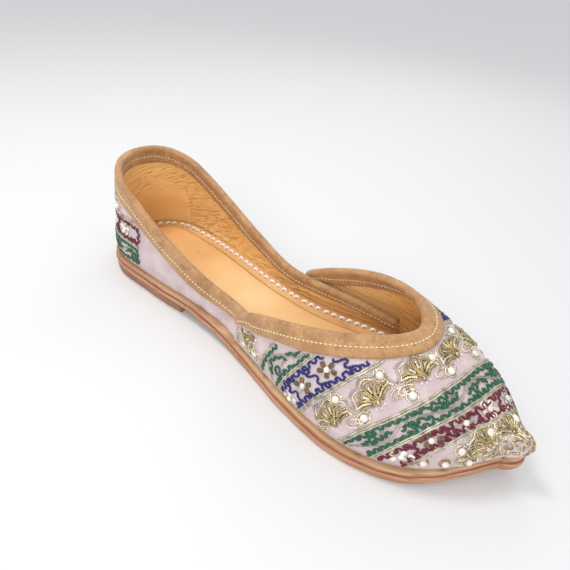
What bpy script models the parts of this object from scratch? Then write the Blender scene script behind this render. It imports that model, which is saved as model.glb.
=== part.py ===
"""A flat mojari slipper: a hollow upper with a low-cut throat, its two folded bindings, an insole with
a padded sock, and a sole of two leather layers with a low heel lift.

x runs from the heel's centre to the toe, y to the wearer's left and z up; the heel rests on the origin.
Sizes are in millimetres, and MM turns them into Blender's metres.
"""
import math

import bmesh
import bpy
import numpy as np

MM = 0.001

# Driving sizes of the whole shoe
SHOE_LENGTH = 245.0
BALL_WIDTH = 84.0
HEEL_WIDTH = 60.0
INSTEP_HEIGHT = 46.0  # of the last under the throat
HEEL_HEIGHT = 61.0  # of the quarter at the back

# Thicknesses
WALL = 1.8  # fabric and lining together
WALL_LEVEL = 5.0  # up to here over the sole the wall's thickness turns from level to square
BINDING = 0.8
CLEARANCE = 0.3  # between pieces that meet
OUTSOLE_FRONT = 3.9
OUTSOLE_REAR = 3.2
MIDSOLE = 2.2
INSOLE = 2.2
SOCK = 1.5
HEEL_LIFT = 4.2

# The sole's edge beyond the last
HEEL_MARGIN = 2.6
TOE_MARGIN = 2.4

# The last: its ends are two round fans, and between them its sections stand across x
HEEL_RADIUS = HEEL_WIDTH / 2 - HEEL_MARGIN
BALL_HALF = BALL_WIDTH / 2 - HEEL_MARGIN - WALL
NIB_RADIUS = 5.0
RUN = SHOE_LENGTH - HEEL_WIDTH / 2 - NIB_RADIUS - TOE_MARGIN  # from the heel's centre to the nib's
HEEL_ARC = HEEL_RADIUS * math.pi / 2
NIB_ARC = NIB_RADIUS * math.pi / 2
SECTION_POWER = 2.25  # of the superellipse that each section follows
BULGE = 1.0  # how far the wall swells just above the sole
BULGE_HEIGHT = 18.0

# Sections of the last. along: share of RUN. right, left: half widths as shares of BALL_HALF.
# ridge: height over the floor as a share of INSTEP_HEIGHT. centre: y of the middle line, in millimetres.
SECTIONS = (
    # along, right, left, ridge, centre
    (0.000, 0.729, 0.729, 2.26, 0.0),
    (0.144, 0.724, 0.716, 2.08, 0.0),
    (0.288, 0.672, 0.640, 1.82, -0.3),
    (0.408, 0.690, 0.655, 1.57, -0.3),
    (0.528, 0.835, 0.795, 1.31, 0.0),
    (0.648, 0.985, 0.945, 1.12, 0.4),
    (0.729, 1.030, 0.985, 1.01, 0.8),
    (0.806, 0.985, 0.935, 0.895, 1.4),
    (0.873, 0.845, 0.795, 0.785, 2.0),
    (0.921, 0.655, 0.615, 0.695, 2.5),
    (0.955, 0.450, 0.425, 0.60, 2.8),
    (0.979, 0.275, 0.262, 0.53, 2.9),
    (0.993, 0.175, 0.170, 0.475, 3.0),
    (1.000, NIB_RADIUS / BALL_HALF, NIB_RADIUS / BALL_HALF, 0.45, 3.0),
)
RIGHT, LEFT = -1, 1

# Underside of the outsole: level under the heel and the ball, low arch between, spring at the toe
HEEL_SEAT_END = 45.0
BALL_START = 106.0
BALL_END = 165.0
TOE_SPRING = 8.0

# Topline of the quarter, from the heel's back to the front of its wings inside the vamp
QUARTER_TOP = (
    # place, height as a share of HEEL_HEIGHT
    (-HEEL_ARC, 1.000),
    (-26.0, 0.985),
    (-10.0, 0.915),
    (5.0, 0.815),
    (22.0, 0.680),
    (42.0, 0.540),
    (62.0, 0.435),
    (86.0, 0.366),
    (112.0, 0.342),
    (138.0, 0.312),
)
WING_END = 138.0
WING_GAP = 2.6  # from the vamp's inner face to the wing, which leaves room for both bindings
WING_LEAN = 2.2  # more of the same at the wing's front
WING_START = 52.0
SEAM_START, SEAM_FULL = 76.0, 82.0  # where the quarter begins to reach into the vamp, and where it does in full
SEAM_LAP = 0.8  # of the quarter into the vamp along the sole
SEAM_HEIGHT = 4.0  # over the sole, above which the two part
WING_HEIGHT = 8.0  # over the sole, above which the wing has its full gap
QUARTER_LIFT = 0.25  # of the quarter's foot inside the vamp, which keeps their feet apart

# Edge of the vamp: from a corner low on each side round the throat
CORNER = 86.0
THROAT = 161.0
CORNER_TURN = 0.115  # the corner's place up its section, from 0 at the sole to 1 at the ridge
THROAT_ALONG_POWER = 0.9  # of the curve between them, seen from above: along the shoe
THROAT_ACROSS_POWER = 1.75  # and up its sections, where a higher power makes a rounder throat

BINDING_WIDTH = 8.0
WING_BINDING_WIDTH = 6.0
CORNER_BINDING_WIDTH = 4.0
CORNER_BINDING_END = 102.0  # where the vamp's binding has its full width
SOCK_INSET = 8.5
SOCK_INSET_FRONT = 11.5
SOCK_WIDER_START, SOCK_WIDER_END = 76.0, 116.0
SOCK_END = 172.0
MIDSOLE_SET_BACK = 0.5  # of the midsole's edge from the outsole's
HEEL_SET_BACK = 0.6


for old in list(bpy.data.objects):
    bpy.data.objects.remove(old, do_unlink=True)


def natural_spline(xs, ys):
    """A cubic through the points with no bending at its ends, as a function."""
    xs, ys = np.array(xs, float), np.array(ys, float)
    n, h = len(xs), np.diff(xs)
    system, right_side = np.eye(n), np.zeros(n)
    for i in range(1, n - 1):
        system[i, i - 1 : i + 2] = h[i - 1], 2 * (h[i - 1] + h[i]), h[i]
        right_side[i] = 6 * ((ys[i + 1] - ys[i]) / h[i] - (ys[i] - ys[i - 1]) / h[i - 1])
    m = np.linalg.solve(system, right_side)

    def value(x):
        i = int(min(max(np.searchsorted(xs, x) - 1, 0), n - 2))
        a, b, w = xs[i + 1] - x, x - xs[i], h[i]
        bent = (m[i] * a**3 + m[i + 1] * b**3) / (6 * w)
        return float(bent + (ys[i] / w - m[i] * w / 6) * a + (ys[i + 1] / w - m[i + 1] * w / 6) * b)

    return value


def smooth_step(x, low, high):
    k = min(max((x - low) / (high - low), 0.0), 1.0)
    return k * k * (3 - 2 * k)


ALONG = [row[0] * RUN for row in SECTIONS]
half_width = {
    RIGHT: natural_spline(ALONG, [row[1] * BALL_HALF for row in SECTIONS]),
    LEFT: natural_spline(ALONG, [row[2] * BALL_HALF for row in SECTIONS]),
}
ridge_height = natural_spline(ALONG, [row[3] * INSTEP_HEIGHT for row in SECTIONS])
centre_y = natural_spline(ALONG, [row[4] for row in SECTIONS])
quarter_top = natural_spline([row[0] for row in QUARTER_TOP], [row[1] * HEEL_HEIGHT for row in QUARTER_TOP])


def underside(x):
    """Height of the outsole's lower face."""
    heel = (HEEL_LIFT + CLEARANCE) * (1 - smooth_step(x, HEEL_SEAT_END, BALL_START))
    spring = max(x - BALL_END, 0.0) / (SHOE_LENGTH - HEEL_WIDTH / 2 - BALL_END)
    return heel + TOE_SPRING * spring**2


def outsole_thickness(x):
    return OUTSOLE_REAR + (OUTSOLE_FRONT - OUTSOLE_REAR) * smooth_step(x, HEEL_SEAT_END, BALL_START)


def midsole_bottom(x):
    return underside(x) + outsole_thickness(x) + CLEARANCE


def feather_height(x):
    """Height at which the upper and the insole stand on the midsole."""
    return midsole_bottom(x) + MIDSOLE + CLEARANCE


def sole_margin(x):
    """How far the sole's edge lies beyond the last: wider where the vamp's wall stands outside it."""
    beside_vamp = WALL * smooth_step(x, WING_START, CORNER)
    at_nib = (WALL + HEEL_MARGIN - TOE_MARGIN) * smooth_step(x, 0.86 * RUN, RUN)
    return HEEL_MARGIN + beside_vamp - at_nib


def foot_of(side, place):
    """(centre, outward direction, reach) of the rib at a place along the last's lower edge: under 0 round the
    heel, up to RUN along the side, and beyond it round the nib."""
    if place < 0:
        turn = min(-place / HEEL_RADIUS, math.pi / 2)
        return (0.0, centre_y(0.0)), (-math.sin(turn), side * math.cos(turn)), HEEL_RADIUS
    if place > RUN:
        turn = min((place - RUN) / NIB_RADIUS, math.pi / 2)
        return (RUN, centre_y(RUN)), (math.sin(turn), side * math.cos(turn)), NIB_RADIUS
    return (place, centre_y(place)), (0.0, float(side)), half_width[side](place)


def bulge(height):
    return BULGE * math.sin(math.pi * min(max(height / BULGE_HEIGHT, 0.0), 1.0))


def last_point(side, place, turn):
    """The last's surface: turn is 0 at the sole and 1 at the ridge."""
    (cx, cy), (dx, dy), reach = foot_of(side, place)
    angle = turn * math.pi / 2
    out = max(math.cos(angle), 0.0) ** (2 / SECTION_POWER)
    up = math.sin(angle) ** (2 / SECTION_POWER)
    low = feather_height(cx + dx * reach)
    z = low + (ridge_height(cx) - low) * up
    r = out * (reach + bulge(z - low))
    return np.array([cx + dx * r, cy + dy * r, z])


def last_field(p):
    """Below 0 inside the last, 0 on it and over 0 outside it."""
    cx = min(max(p[0], 0.0), RUN)
    cy = centre_y(cx)
    dx, dy = p[0] - cx, p[1] - cy
    r = math.hypot(dx, dy)
    reach = half_width[RIGHT if dy < 0 else LEFT](cx)
    low = feather_height(cx + (dx / r * reach if r > 1e-9 else 0.0))
    up = max((p[2] - low) / (ridge_height(cx) - low), 0.0)
    return (r / (reach + bulge(p[2] - low))) ** SECTION_POWER + up**SECTION_POWER - 1


def field_slope(p):
    step = 0.05
    slope = np.zeros(3)
    for axis in range(3):
        d = np.zeros(3)
        d[axis] = step
        slope[axis] = (last_field(p + d) - last_field(p - d)) / (2 * step)
    return slope


def outward(p):
    slope = field_slope(p)
    return slope / np.linalg.norm(slope)


def face_direction(p, base):
    """Outward direction of a wall's thickness: level where the wall stands on the midsole."""
    n = outward(p)
    n[2] *= smooth_step(p[2] - base, 0.0, WALL_LEVEL)
    return n / np.linalg.norm(n)


def on_midsole(p):
    """The same point at the height of the midsole under it."""
    return np.array([p[0], p[1], feather_height(p[0])])


def onto_last(p):
    for _ in range(4):
        slope = field_slope(p)
        p = p - slope * last_field(p) / (slope @ slope)
    return p


def walk(p, direction, distance, steps=4):
    """The point that far along the last's surface, starting in that direction."""
    for _ in range(steps):
        n = outward(p)
        direction = direction - n * (direction @ n)
        direction = direction / np.linalg.norm(direction)
        p = onto_last(p + direction * distance / steps)
    return p


def turn_at_height(side, place, z):
    """Where up its section the rib reaches a height."""
    (cx, _), (dx, _), reach = foot_of(side, place)
    low = feather_height(cx + dx * reach)
    up = min((z - low) / (ridge_height(cx) - low), 1.0)
    return math.asin(up ** (SECTION_POWER / 2)) * 2 / math.pi


def throat_turn(place):
    """The vamp's edge: rises from the corner and closes over the ridge at the throat."""
    k = min(max((place - CORNER) / (THROAT - CORNER), 0.0), 1.0)
    rise = 1 - (1 - k**THROAT_ALONG_POWER) ** (1 / THROAT_ACROSS_POWER)
    return CORNER_TURN + (1 - CORNER_TURN) * rise


def quarter_offset(place, height):
    """How far outside the last the quarter's face stands: a little at the sole by the vamp, where the two are
    sewn, and under 0 above it, where the wing leans inside the vamp."""
    gap = WING_GAP * smooth_step(place, WING_START, SEAM_FULL)
    lean = WING_LEAN * smooth_step(place, CORNER + 10.0, WING_END)
    seam = SEAM_LAP * smooth_step(place, SEAM_START, SEAM_FULL)
    inwards = (gap + lean) * smooth_step(height, 1.0, WING_HEIGHT)
    return seam * (1 - smooth_step(height, 1.0, SEAM_HEIGHT)) - inwards


def spread(low, high, count):
    return [low + (high - low) * i / count for i in range(count + 1)]


def wall_levels(count):
    """Shares of a wall's height, closer together towards its free edge."""
    return [1 - (1 - k) ** 1.3 for k in spread(0.0, 1.0, count)]


def throat_places(count):
    """Places from the corner to the throat, closer together near the corner."""
    return [CORNER + (THROAT - CORNER) * math.sin(a * math.pi / 2) ** 1.6 for a in spread(0.0, 1.0, count)]


HEEL_PLACES = spread(-HEEL_ARC, 0.0, 9)
REAR_PLACES = spread(0.0, CORNER, 9)
WING_PLACES = spread(CORNER, WING_END, 6)
THROAT_PLACES = throat_places(14)
TOE_START = 0.80  # share of RUN
TOE_SHARES = (TOE_START, 0.84, 0.873, 0.90, 0.922, 0.94, 0.955, 0.967, 0.977, 0.985, 0.993, 1.0)
TOE_PLACES = [THROAT] + [RUN * share for share in TOE_SHARES]
NIB_PLACES = spread(RUN, RUN + NIB_ARC, 4)


def new_object(name, points, faces, weld=2e-6):
    """A closed mesh from points in millimetres, its doubled points joined and its faces turned outwards."""
    mesh = bpy.data.meshes.new(name)
    mesh.from_pydata([tuple(float(v) * MM for v in p) for p in points], [], faces)
    shape = bmesh.new()
    shape.from_mesh(mesh)
    bmesh.ops.remove_doubles(shape, verts=shape.verts, dist=weld)
    bmesh.ops.dissolve_degenerate(shape, edges=shape.edges, dist=weld)
    bmesh.ops.recalc_face_normals(shape, faces=shape.faces)
    if shape.calc_volume(signed=True) < 0:
        bmesh.ops.reverse_faces(shape, faces=shape.faces)
    shape.to_mesh(mesh)
    shape.free()
    mesh.shade_smooth()
    mesh.set_sharp_from_angle(angle=math.radians(40))
    made = bpy.data.objects.new(name, mesh)
    bpy.context.scene.collection.objects.link(made)
    return made


def leather(name, colour, roughness):
    """A plain leather or cloth finish."""
    made = bpy.data.materials.new(name)
    made.use_nodes = True
    shader = made.node_tree.nodes["Principled BSDF"]
    shader.inputs["Base Color"].default_value = (*colour, 1.0)
    shader.inputs["Roughness"].default_value = roughness
    shader.inputs["Metallic"].default_value = 0.0
    return made


def plate(outer, inner, open_top):
    """Points and faces of a wall between two grids of the same size. Each row runs up from the sole, and
    open_top says of each row whether it ends at a free edge or runs into its twin over the ridge."""
    rows, columns = len(outer), len(outer[0])
    points = [p for grid in (outer, inner) for row in grid for p in row]

    def at(grid, row, column):
        return (grid * rows + row) * columns + column

    faces = []
    for i in range(rows - 1):
        for j in range(columns - 1):
            for grid in (0, 1):
                faces.append([at(grid, i, j), at(grid, i + 1, j), at(grid, i + 1, j + 1), at(grid, i, j + 1)])
        faces.append([at(0, i, 0), at(0, i + 1, 0), at(1, i + 1, 0), at(1, i, 0)])
        if open_top[i] and open_top[i + 1]:
            top = columns - 1
            faces.append([at(0, i, top), at(0, i + 1, top), at(1, i + 1, top), at(1, i, top)])
    for i in (0, rows - 1):
        for j in range(columns - 1):
            faces.append([at(0, i, j), at(0, i, j + 1), at(1, i, j + 1), at(1, i, j)])
    return points, faces


def quarter_shell():
    """The wall round the heel, with its two wings that go forward inside the vamp."""
    levels = wall_levels(9)
    side_places = (HEEL_PLACES[:-1] + REAR_PLACES[:-1] + WING_PLACES)[::-1]
    ribs = [(RIGHT, place) for place in side_places] + [(LEFT, place) for place in side_places[-2::-1]]
    outer, inner = [], []
    for side, place in ribs:
        top = turn_at_height(side, place, quarter_top(place))
        outer_row, inner_row = [], []
        for level in levels:
            p = last_point(side, place, top * level)
            base = last_point(side, place, 0.0)[2]
            n = face_direction(p, base)
            height = p[2] - base
            offset = quarter_offset(place, height)
            outer_row.append(p + n * offset)
            inner_row.append(p + n * (min(offset, 0.0) - WALL))
        lift = np.array([0.0, 0.0, QUARTER_LIFT * smooth_step(place, SEAM_START, SEAM_FULL)])
        outer.append([on_midsole(outer_row[0]) + lift] + outer_row[1:])
        inner.append([on_midsole(inner_row[0]) + lift] + inner_row[1:])
    points, faces = plate(outer, inner, [True] * len(ribs))
    return new_object("quarter_shell", points, faces)


def vamp_shell():
    """The wall over the toes, closed over the ridge in front of the throat."""
    levels = wall_levels(12)
    places = THROAT_PLACES[:-1] + TOE_PLACES[:-1] + NIB_PLACES
    ribs = [(RIGHT, place) for place in places] + [(LEFT, place) for place in places[-2::-1]]
    outer, inner, open_top = [], [], []
    for side, place in ribs:
        top = throat_turn(place) if place < THROAT else 1.0
        row = [last_point(side, place, top * level) for level in levels]
        outer_row = [p + face_direction(p, row[0][2]) * WALL for p in row]
        outer.append([on_midsole(outer_row[0])] + outer_row[1:])
        inner.append([on_midsole(row[0])] + row[1:])
        open_top.append(place <= THROAT)
    points, faces = plate(outer, inner, open_top)
    return new_object("vamp_shell", points, faces)


def make_upper():
    """Vamp and quarter are sewn into one hollow upper, so one solid has the step where they lap."""
    vamp, quarter = vamp_shell(), quarter_shell()
    sewing = vamp.modifiers.new("sewn to the quarter", "BOOLEAN")
    sewing.operation = "UNION"
    sewing.solver = "EXACT"
    sewing.object = quarter
    bpy.context.view_layer.update()
    joined = bpy.data.meshes.new_from_object(vamp.evaluated_get(bpy.context.evaluated_depsgraph_get()))
    joined.name = "upper"
    upper = bpy.data.objects.new("upper", joined)
    bpy.context.scene.collection.objects.link(upper)
    for shell in (vamp, quarter):
        bpy.data.objects.remove(shell, do_unlink=True)
    joined.materials.clear()
    joined.materials.append(leather("lilac cloth over leather", (0.72, 0.62, 0.62), 0.75))
    return upper


def folded_strip(name, edge, outer_face, inner_face, shift):
    """A strip of leather folded over an edge. edge is a list of (point on the last, direction down its face,
    width of the strip). The faces are the wall's two offsets from the last, and shift is a function of a
    point on the last: how far the wall stands outside its usual place."""
    points = []
    for p, down, width in edge:
        stations = [walk(p, down, width * share) if share else p for share in (1.0, 0.66, 0.33, 0.0)]
        placed = [(s, outward(s), shift(s)) for s in stations]
        out, back = outer_face + CLEARANCE, inner_face - CLEARANCE
        n, top = placed[-1][1], placed[-1][2]
        crown = ((out + 0.6 * BINDING, 0.9), ((out + back) / 2, 1.5), (back - 0.6 * BINDING, 0.9))
        loop = [s + m * (out + move + BINDING) for s, m, move in placed]
        loop += [p + n * (across + top) - down * rise for across, rise in crown]
        loop += [s + m * (back + move - BINDING) for s, m, move in placed[::-1]]
        loop += [s + m * (back + move) for s, m, move in placed]
        loop += [p + n * (across + top) - down * CLEARANCE for across in (back, (out + back) / 2, out)]
        loop += [s + m * (out + move) for s, m, move in placed[::-1]]
        points += loop
    size = len(points) // len(edge)
    faces = []
    for i in range(len(edge) - 1):
        for j in range(size):
            k = (j + 1) % size
            faces.append([i * size + j, i * size + k, (i + 1) * size + k, (i + 1) * size + j])
    for i in (0, len(edge) - 1):
        ring = [i * size + j for j in range(size)]
        for j in range(size // 2 - 1):
            faces.append([ring[j], ring[j + 1], ring[size - 2 - j], ring[size - 1 - j]])
    made = new_object(name, points, faces)
    made.data.materials.append(leather(name + " leather", (0.50, 0.30, 0.16), 0.55))
    return made


def edge_frames(points, widths):
    """Each point of an edge with the direction that leaves it square, down the wall's face: the edge is
    followed with the wall's lower part on its left, as seen from outside."""
    frames = []
    for i, p in enumerate(points):
        along = points[min(i + 1, len(points) - 1)] - points[max(i - 1, 0)]
        down = np.cross(outward(p), along)
        frames.append((p, down / np.linalg.norm(down), widths[i]))
    return frames


def make_quarter_binding():
    """Binding along the whole topline of the quarter, from one wing's front round the heel to the other's."""
    places = (HEEL_PLACES[:-1] + REAR_PLACES[:-1] + WING_PLACES)[::-1]
    ribs = [(RIGHT, place) for place in places] + [(LEFT, place) for place in places[-2::-1]]
    points = [last_point(side, place, turn_at_height(side, place, quarter_top(place))) for side, place in ribs]
    narrowing = BINDING_WIDTH - WING_BINDING_WIDTH
    widths = [BINDING_WIDTH - narrowing * smooth_step(place, WING_START, CORNER_BINDING_END) for _, place in ribs]
    folded_strip("quarter_binding", edge_frames(points, widths), 0.0, -WALL,
                 lambda p: quarter_offset(p[0], p[2] - feather_height(p[0])))


def make_vamp_binding():
    """Binding along the vamp's edge, from the corner on one side round the throat to the other."""
    ribs = [(LEFT, place) for place in THROAT_PLACES] + [(RIGHT, place) for place in THROAT_PLACES[-2::-1]]
    points = [last_point(side, place, throat_turn(place)) for side, place in ribs]
    growth = BINDING_WIDTH - CORNER_BINDING_WIDTH
    widths = [CORNER_BINDING_WIDTH + growth * smooth_step(place, CORNER, CORNER_BINDING_END) for _, place in ribs]
    folded_strip("vamp_binding", edge_frames(points, widths), WALL, 0.0, lambda p: 0.0)


def edge_point(side, place, grow):
    """Plan point of the last's lower edge, moved outwards square to that edge."""

    def plain(q):
        (cx, cy), (dx, dy), reach = foot_of(side, q)
        return np.array([cx + dx * reach, cy + dy * reach])

    step = 0.2
    run = plain(min(place + step, RUN + NIB_ARC)) - plain(max(place - step, -HEEL_ARC))
    square = np.array([-run[1], run[0]]) * side
    if place <= -HEEL_ARC or place >= RUN + NIB_ARC:
        square = np.array([math.copysign(1.0, place), 0.0])
    return plain(place) + square / np.linalg.norm(square) * grow


SOLE_PLACES = HEEL_PLACES[:-1] + spread(0.0, TOE_START * RUN, 20)[:-1] + TOE_PLACES[1:-1] + NIB_PLACES


def layer(name, places, grow, low, high, colour, roughness, edge_round=0.5):
    """A sole layer with a rounded edge. grow, low and high are functions of x: its edge beyond the last
    and the heights of its faces."""
    profile = ((-edge_round, 0.0), (0.0, 0.3), (0.0, 0.75), (-0.6 * edge_round, 1.0))
    shares = spread(0.0, 1.0, 4)
    across, flank = len(shares), len(profile) - 2
    points = []
    for place in places:
        cx = foot_of(RIGHT, place)[0][0]
        rims = {}
        for side in (RIGHT, LEFT):
            plan = [edge_point(side, place, grow(cx) + inset) for inset, _ in profile]
            heights = [low(x) + (high(x) - low(x)) * share for (x, _), (_, share) in zip(plan, profile)]
            rims[side] = [np.array([x, y, z]) for (x, y), z in zip(plan, heights)]
        right, left = rims[RIGHT], rims[LEFT]
        points += [right[0] + (left[0] - right[0]) * s for s in shares]
        points += left[1:-1]
        points += [left[-1] + (right[-1] - left[-1]) * s for s in shares]
        points += right[-2:0:-1]
    size = 2 * (across + flank)
    faces = []
    for i in range(len(places) - 1):
        for j in range(size):
            k = (j + 1) % size
            faces.append([i * size + j, i * size + k, (i + 1) * size + k, (i + 1) * size + j])
    for i, place in ((0, places[0]), (len(places) - 1, places[-1])):
        if -HEEL_ARC < place < RUN + NIB_ARC:
            ring = [i * size + j for j in range(size)]
            bottom, top = ring[:across], ring[across + flank:2 * across + flank][::-1]
            for j in range(across - 1):
                faces.append([bottom[j], bottom[j + 1], top[j + 1], top[j]])
            faces.append([bottom[-1]] + ring[across:across + flank] + [top[-1]])
            faces.append([top[0]] + ring[2 * across + flank:] + [bottom[0]])
    made = new_object(name, points, faces)
    made.data.materials.append(leather(name + " leather", colour, roughness))
    return made


def make_sole():
    layer("outsole", SOLE_PLACES, sole_margin, underside, lambda x: underside(x) + outsole_thickness(x),
          (0.52, 0.31, 0.21), 0.6, edge_round=0.8)
    layer("midsole", SOLE_PLACES, lambda x: sole_margin(x) - MIDSOLE_SET_BACK, midsole_bottom,
          lambda x: midsole_bottom(x) + MIDSOLE, (0.55, 0.36, 0.20), 0.6)
    places = [place for place in SOLE_PLACES if place < HEEL_SEAT_END - 1.0] + [HEEL_SEAT_END]
    layer("heel_lift", places, lambda x: HEEL_MARGIN - HEEL_SET_BACK, lambda x: 0.0, lambda x: underside(x) - CLEARANCE,
          (0.40, 0.22, 0.14), 0.6)


def insole_grow(x):
    """The insole fills the space inside the quarter, and inside the vamp in front of the wings."""
    return -CLEARANCE - (WALL + CLEARANCE) * (1 - smooth_step(x, WING_END + 2.0, WING_END + 14.0))


def sock_grow(x):
    """The sock lies inside the insole's edge, further in under the toes."""
    wider = (SOCK_INSET_FRONT - SOCK_INSET) * smooth_step(x, SOCK_WIDER_START, SOCK_WIDER_END)
    return insole_grow(x) - SOCK_INSET - wider


def sock_bottom(x):
    return feather_height(x) + INSOLE + CLEARANCE


def make_insole():
    layer("insole", SOLE_PLACES, insole_grow, feather_height, lambda x: feather_height(x) + INSOLE,
          (0.72, 0.47, 0.24), 0.55, edge_round=0.3)
    places = [place for place in SOLE_PLACES if place < SOCK_END - 2.0] + [SOCK_END]
    layer("sock", places, sock_grow, sock_bottom, lambda x: sock_bottom(x) + SOCK,
          (0.80, 0.52, 0.26), 0.45, edge_round=0.9)


make_upper()
make_quarter_binding()
make_vamp_binding()
make_sole()
make_insole()
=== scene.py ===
"""The looks of one embroidered mojari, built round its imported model.

All sizes here are in millimetres, and MM turns them into Blender's metres. x runs from the heel's centre to
the toe, y to the wearer's left and z up.
"""
import math

import bmesh
import bpy
import numpy as np
from mathutils import Matrix, Vector


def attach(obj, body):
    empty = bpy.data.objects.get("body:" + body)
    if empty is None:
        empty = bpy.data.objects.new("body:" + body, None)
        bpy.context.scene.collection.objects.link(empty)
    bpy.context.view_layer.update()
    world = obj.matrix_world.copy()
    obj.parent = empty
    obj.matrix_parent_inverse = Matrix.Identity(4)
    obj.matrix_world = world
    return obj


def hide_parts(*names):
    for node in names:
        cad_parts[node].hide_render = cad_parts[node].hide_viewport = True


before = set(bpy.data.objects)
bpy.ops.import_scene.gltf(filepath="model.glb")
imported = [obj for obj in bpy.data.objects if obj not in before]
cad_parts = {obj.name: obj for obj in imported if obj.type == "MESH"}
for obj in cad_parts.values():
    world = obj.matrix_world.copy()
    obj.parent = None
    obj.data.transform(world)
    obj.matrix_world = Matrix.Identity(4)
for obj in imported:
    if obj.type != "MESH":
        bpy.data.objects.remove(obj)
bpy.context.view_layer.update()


# The upper. Lilac satin is pasted over thin leather and drawn down over the last. The vamp laps outside the
# quarter and is sewn to it up each side, and both are lined with tan goatskin, creased where the foot bends.
MM = 0.001
SHOE_LENGTH = 245.0
BALL_WIDTH = 84.0
HEEL_WIDTH = 60.0
INSTEP_HEIGHT = 46.0
HEEL_HEIGHT = 61.0
WALL = 1.8
WALL_LEVEL = 5.0  # up to here over the sole the wall's thickness turns from level to square
CLEARANCE = 0.3  # between pieces that meet
OUTSOLE_FRONT = 3.9
OUTSOLE_REAR = 3.2
MIDSOLE = 2.2
HEEL_LIFT = 4.2
HEEL_MARGIN = 2.6
TOE_MARGIN = 2.4
HEEL_RADIUS = HEEL_WIDTH / 2 - HEEL_MARGIN
BALL_HALF = BALL_WIDTH / 2 - HEEL_MARGIN - WALL
NIB_RADIUS = 5.0
RUN = SHOE_LENGTH - HEEL_WIDTH / 2 - NIB_RADIUS - TOE_MARGIN  # from the heel's centre to the nib's
HEEL_ARC = HEEL_RADIUS * math.pi / 2
NIB_ARC = NIB_RADIUS * math.pi / 2
SECTION_POWER = 2.25  # of the superellipse that each section follows
BULGE = 1.0  # how far the wall swells just above the sole
BULGE_HEIGHT = 18.0
RIGHT, LEFT = -1, 1

# Sections of the last. along: share of RUN. right, left: half widths as shares of BALL_HALF.
# ridge: height over the floor as a share of INSTEP_HEIGHT. centre: y of the middle line.
SECTIONS = (
    # along, right, left, ridge, centre
    (0.000, 0.729, 0.729, 2.26, 0.0),
    (0.144, 0.724, 0.716, 2.08, 0.0),
    (0.288, 0.672, 0.640, 1.82, -0.3),
    (0.408, 0.690, 0.655, 1.57, -0.3),
    (0.528, 0.835, 0.795, 1.31, 0.0),
    (0.648, 0.985, 0.945, 1.12, 0.4),
    (0.729, 1.030, 0.985, 1.01, 0.8),
    (0.806, 0.985, 0.935, 0.895, 1.4),
    (0.873, 0.845, 0.795, 0.785, 2.0),
    (0.921, 0.655, 0.615, 0.695, 2.5),
    (0.955, 0.450, 0.425, 0.60, 2.8),
    (0.979, 0.275, 0.262, 0.53, 2.9),
    (0.993, 0.175, 0.170, 0.475, 3.0),
    (1.000, NIB_RADIUS / BALL_HALF, NIB_RADIUS / BALL_HALF, 0.45, 3.0),
)
HEEL_SEAT_END = 45.0
BALL_START = 106.0
BALL_END = 165.0
TOE_SPRING = 8.0

# Topline of the quarter, from the heel's back to the front of its wings. height: share of HEEL_HEIGHT.
QUARTER_TOP = (
    # place, height
    (-HEEL_ARC, 1.000),
    (-26.0, 0.985),
    (-10.0, 0.915),
    (5.0, 0.815),
    (22.0, 0.680),
    (42.0, 0.540),
    (62.0, 0.435),
    (86.0, 0.366),
    (112.0, 0.342),
    (138.0, 0.312),
)
WING_END = 138.0
WING_GAP = 2.6  # from the vamp's inner face to the wing
WING_LEAN = 2.2  # more of the same at the wing's front
WING_START = 52.0
WING_LEAN_START = 96.0
SEAM_LAP = 0.8  # of the quarter into the vamp along the sole
SEAM_START, SEAM_FULL = 76.0, 82.0
SEAM_FOOT = 1.0  # heights over the sole: up to here the seam holds in full,
SEAM_HEIGHT = 4.0  # above here the quarter is free of it,
WING_HEIGHT = 8.0  # and above here the wing has its full gap
CORNER = 86.0
THROAT = 161.0
CORNER_TURN = 0.115  # the corner's place up its section, from 0 at the sole to 1 at the ridge
THROAT_ALONG_POWER = 0.9
THROAT_ACROSS_POWER = 1.75


def natural_spline(xs, ys):
    """A cubic through the points with no bending at its ends, as a function of numbers or arrays."""
    xs, ys = np.array(xs, float), np.array(ys, float)
    n, h = len(xs), np.diff(xs)
    system, right_side = np.eye(n), np.zeros(n)
    for i in range(1, n - 1):
        system[i, i - 1 : i + 2] = h[i - 1], 2 * (h[i - 1] + h[i]), h[i]
        right_side[i] = 6 * ((ys[i + 1] - ys[i]) / h[i] - (ys[i] - ys[i - 1]) / h[i - 1])
    m = np.linalg.solve(system, right_side)

    def value(x):
        x = np.asarray(x, float)
        i = np.clip(np.searchsorted(xs, x) - 1, 0, n - 2)
        a, b, w = xs[i + 1] - x, x - xs[i], h[i]
        bent = (m[i] * a**3 + m[i + 1] * b**3) / (6 * w)
        return bent + (ys[i] / w - m[i] * w / 6) * a + (ys[i + 1] / w - m[i + 1] * w / 6) * b

    return value


def smooth_step(x, low, high):
    k = np.clip((np.asarray(x, float) - low) / (high - low), 0.0, 1.0)
    return k * k * (3 - 2 * k)


ALONG = [row[0] * RUN for row in SECTIONS]
right_half = natural_spline(ALONG, [row[1] * BALL_HALF for row in SECTIONS])
left_half = natural_spline(ALONG, [row[2] * BALL_HALF for row in SECTIONS])
ridge_height = natural_spline(ALONG, [row[3] * INSTEP_HEIGHT for row in SECTIONS])
centre_y = natural_spline(ALONG, [row[4] for row in SECTIONS])
quarter_top = natural_spline([row[0] for row in QUARTER_TOP], [row[1] * HEEL_HEIGHT for row in QUARTER_TOP])


def half_width(side, x):
    return np.where(np.asarray(side) < 0, right_half(x), left_half(x))


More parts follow.
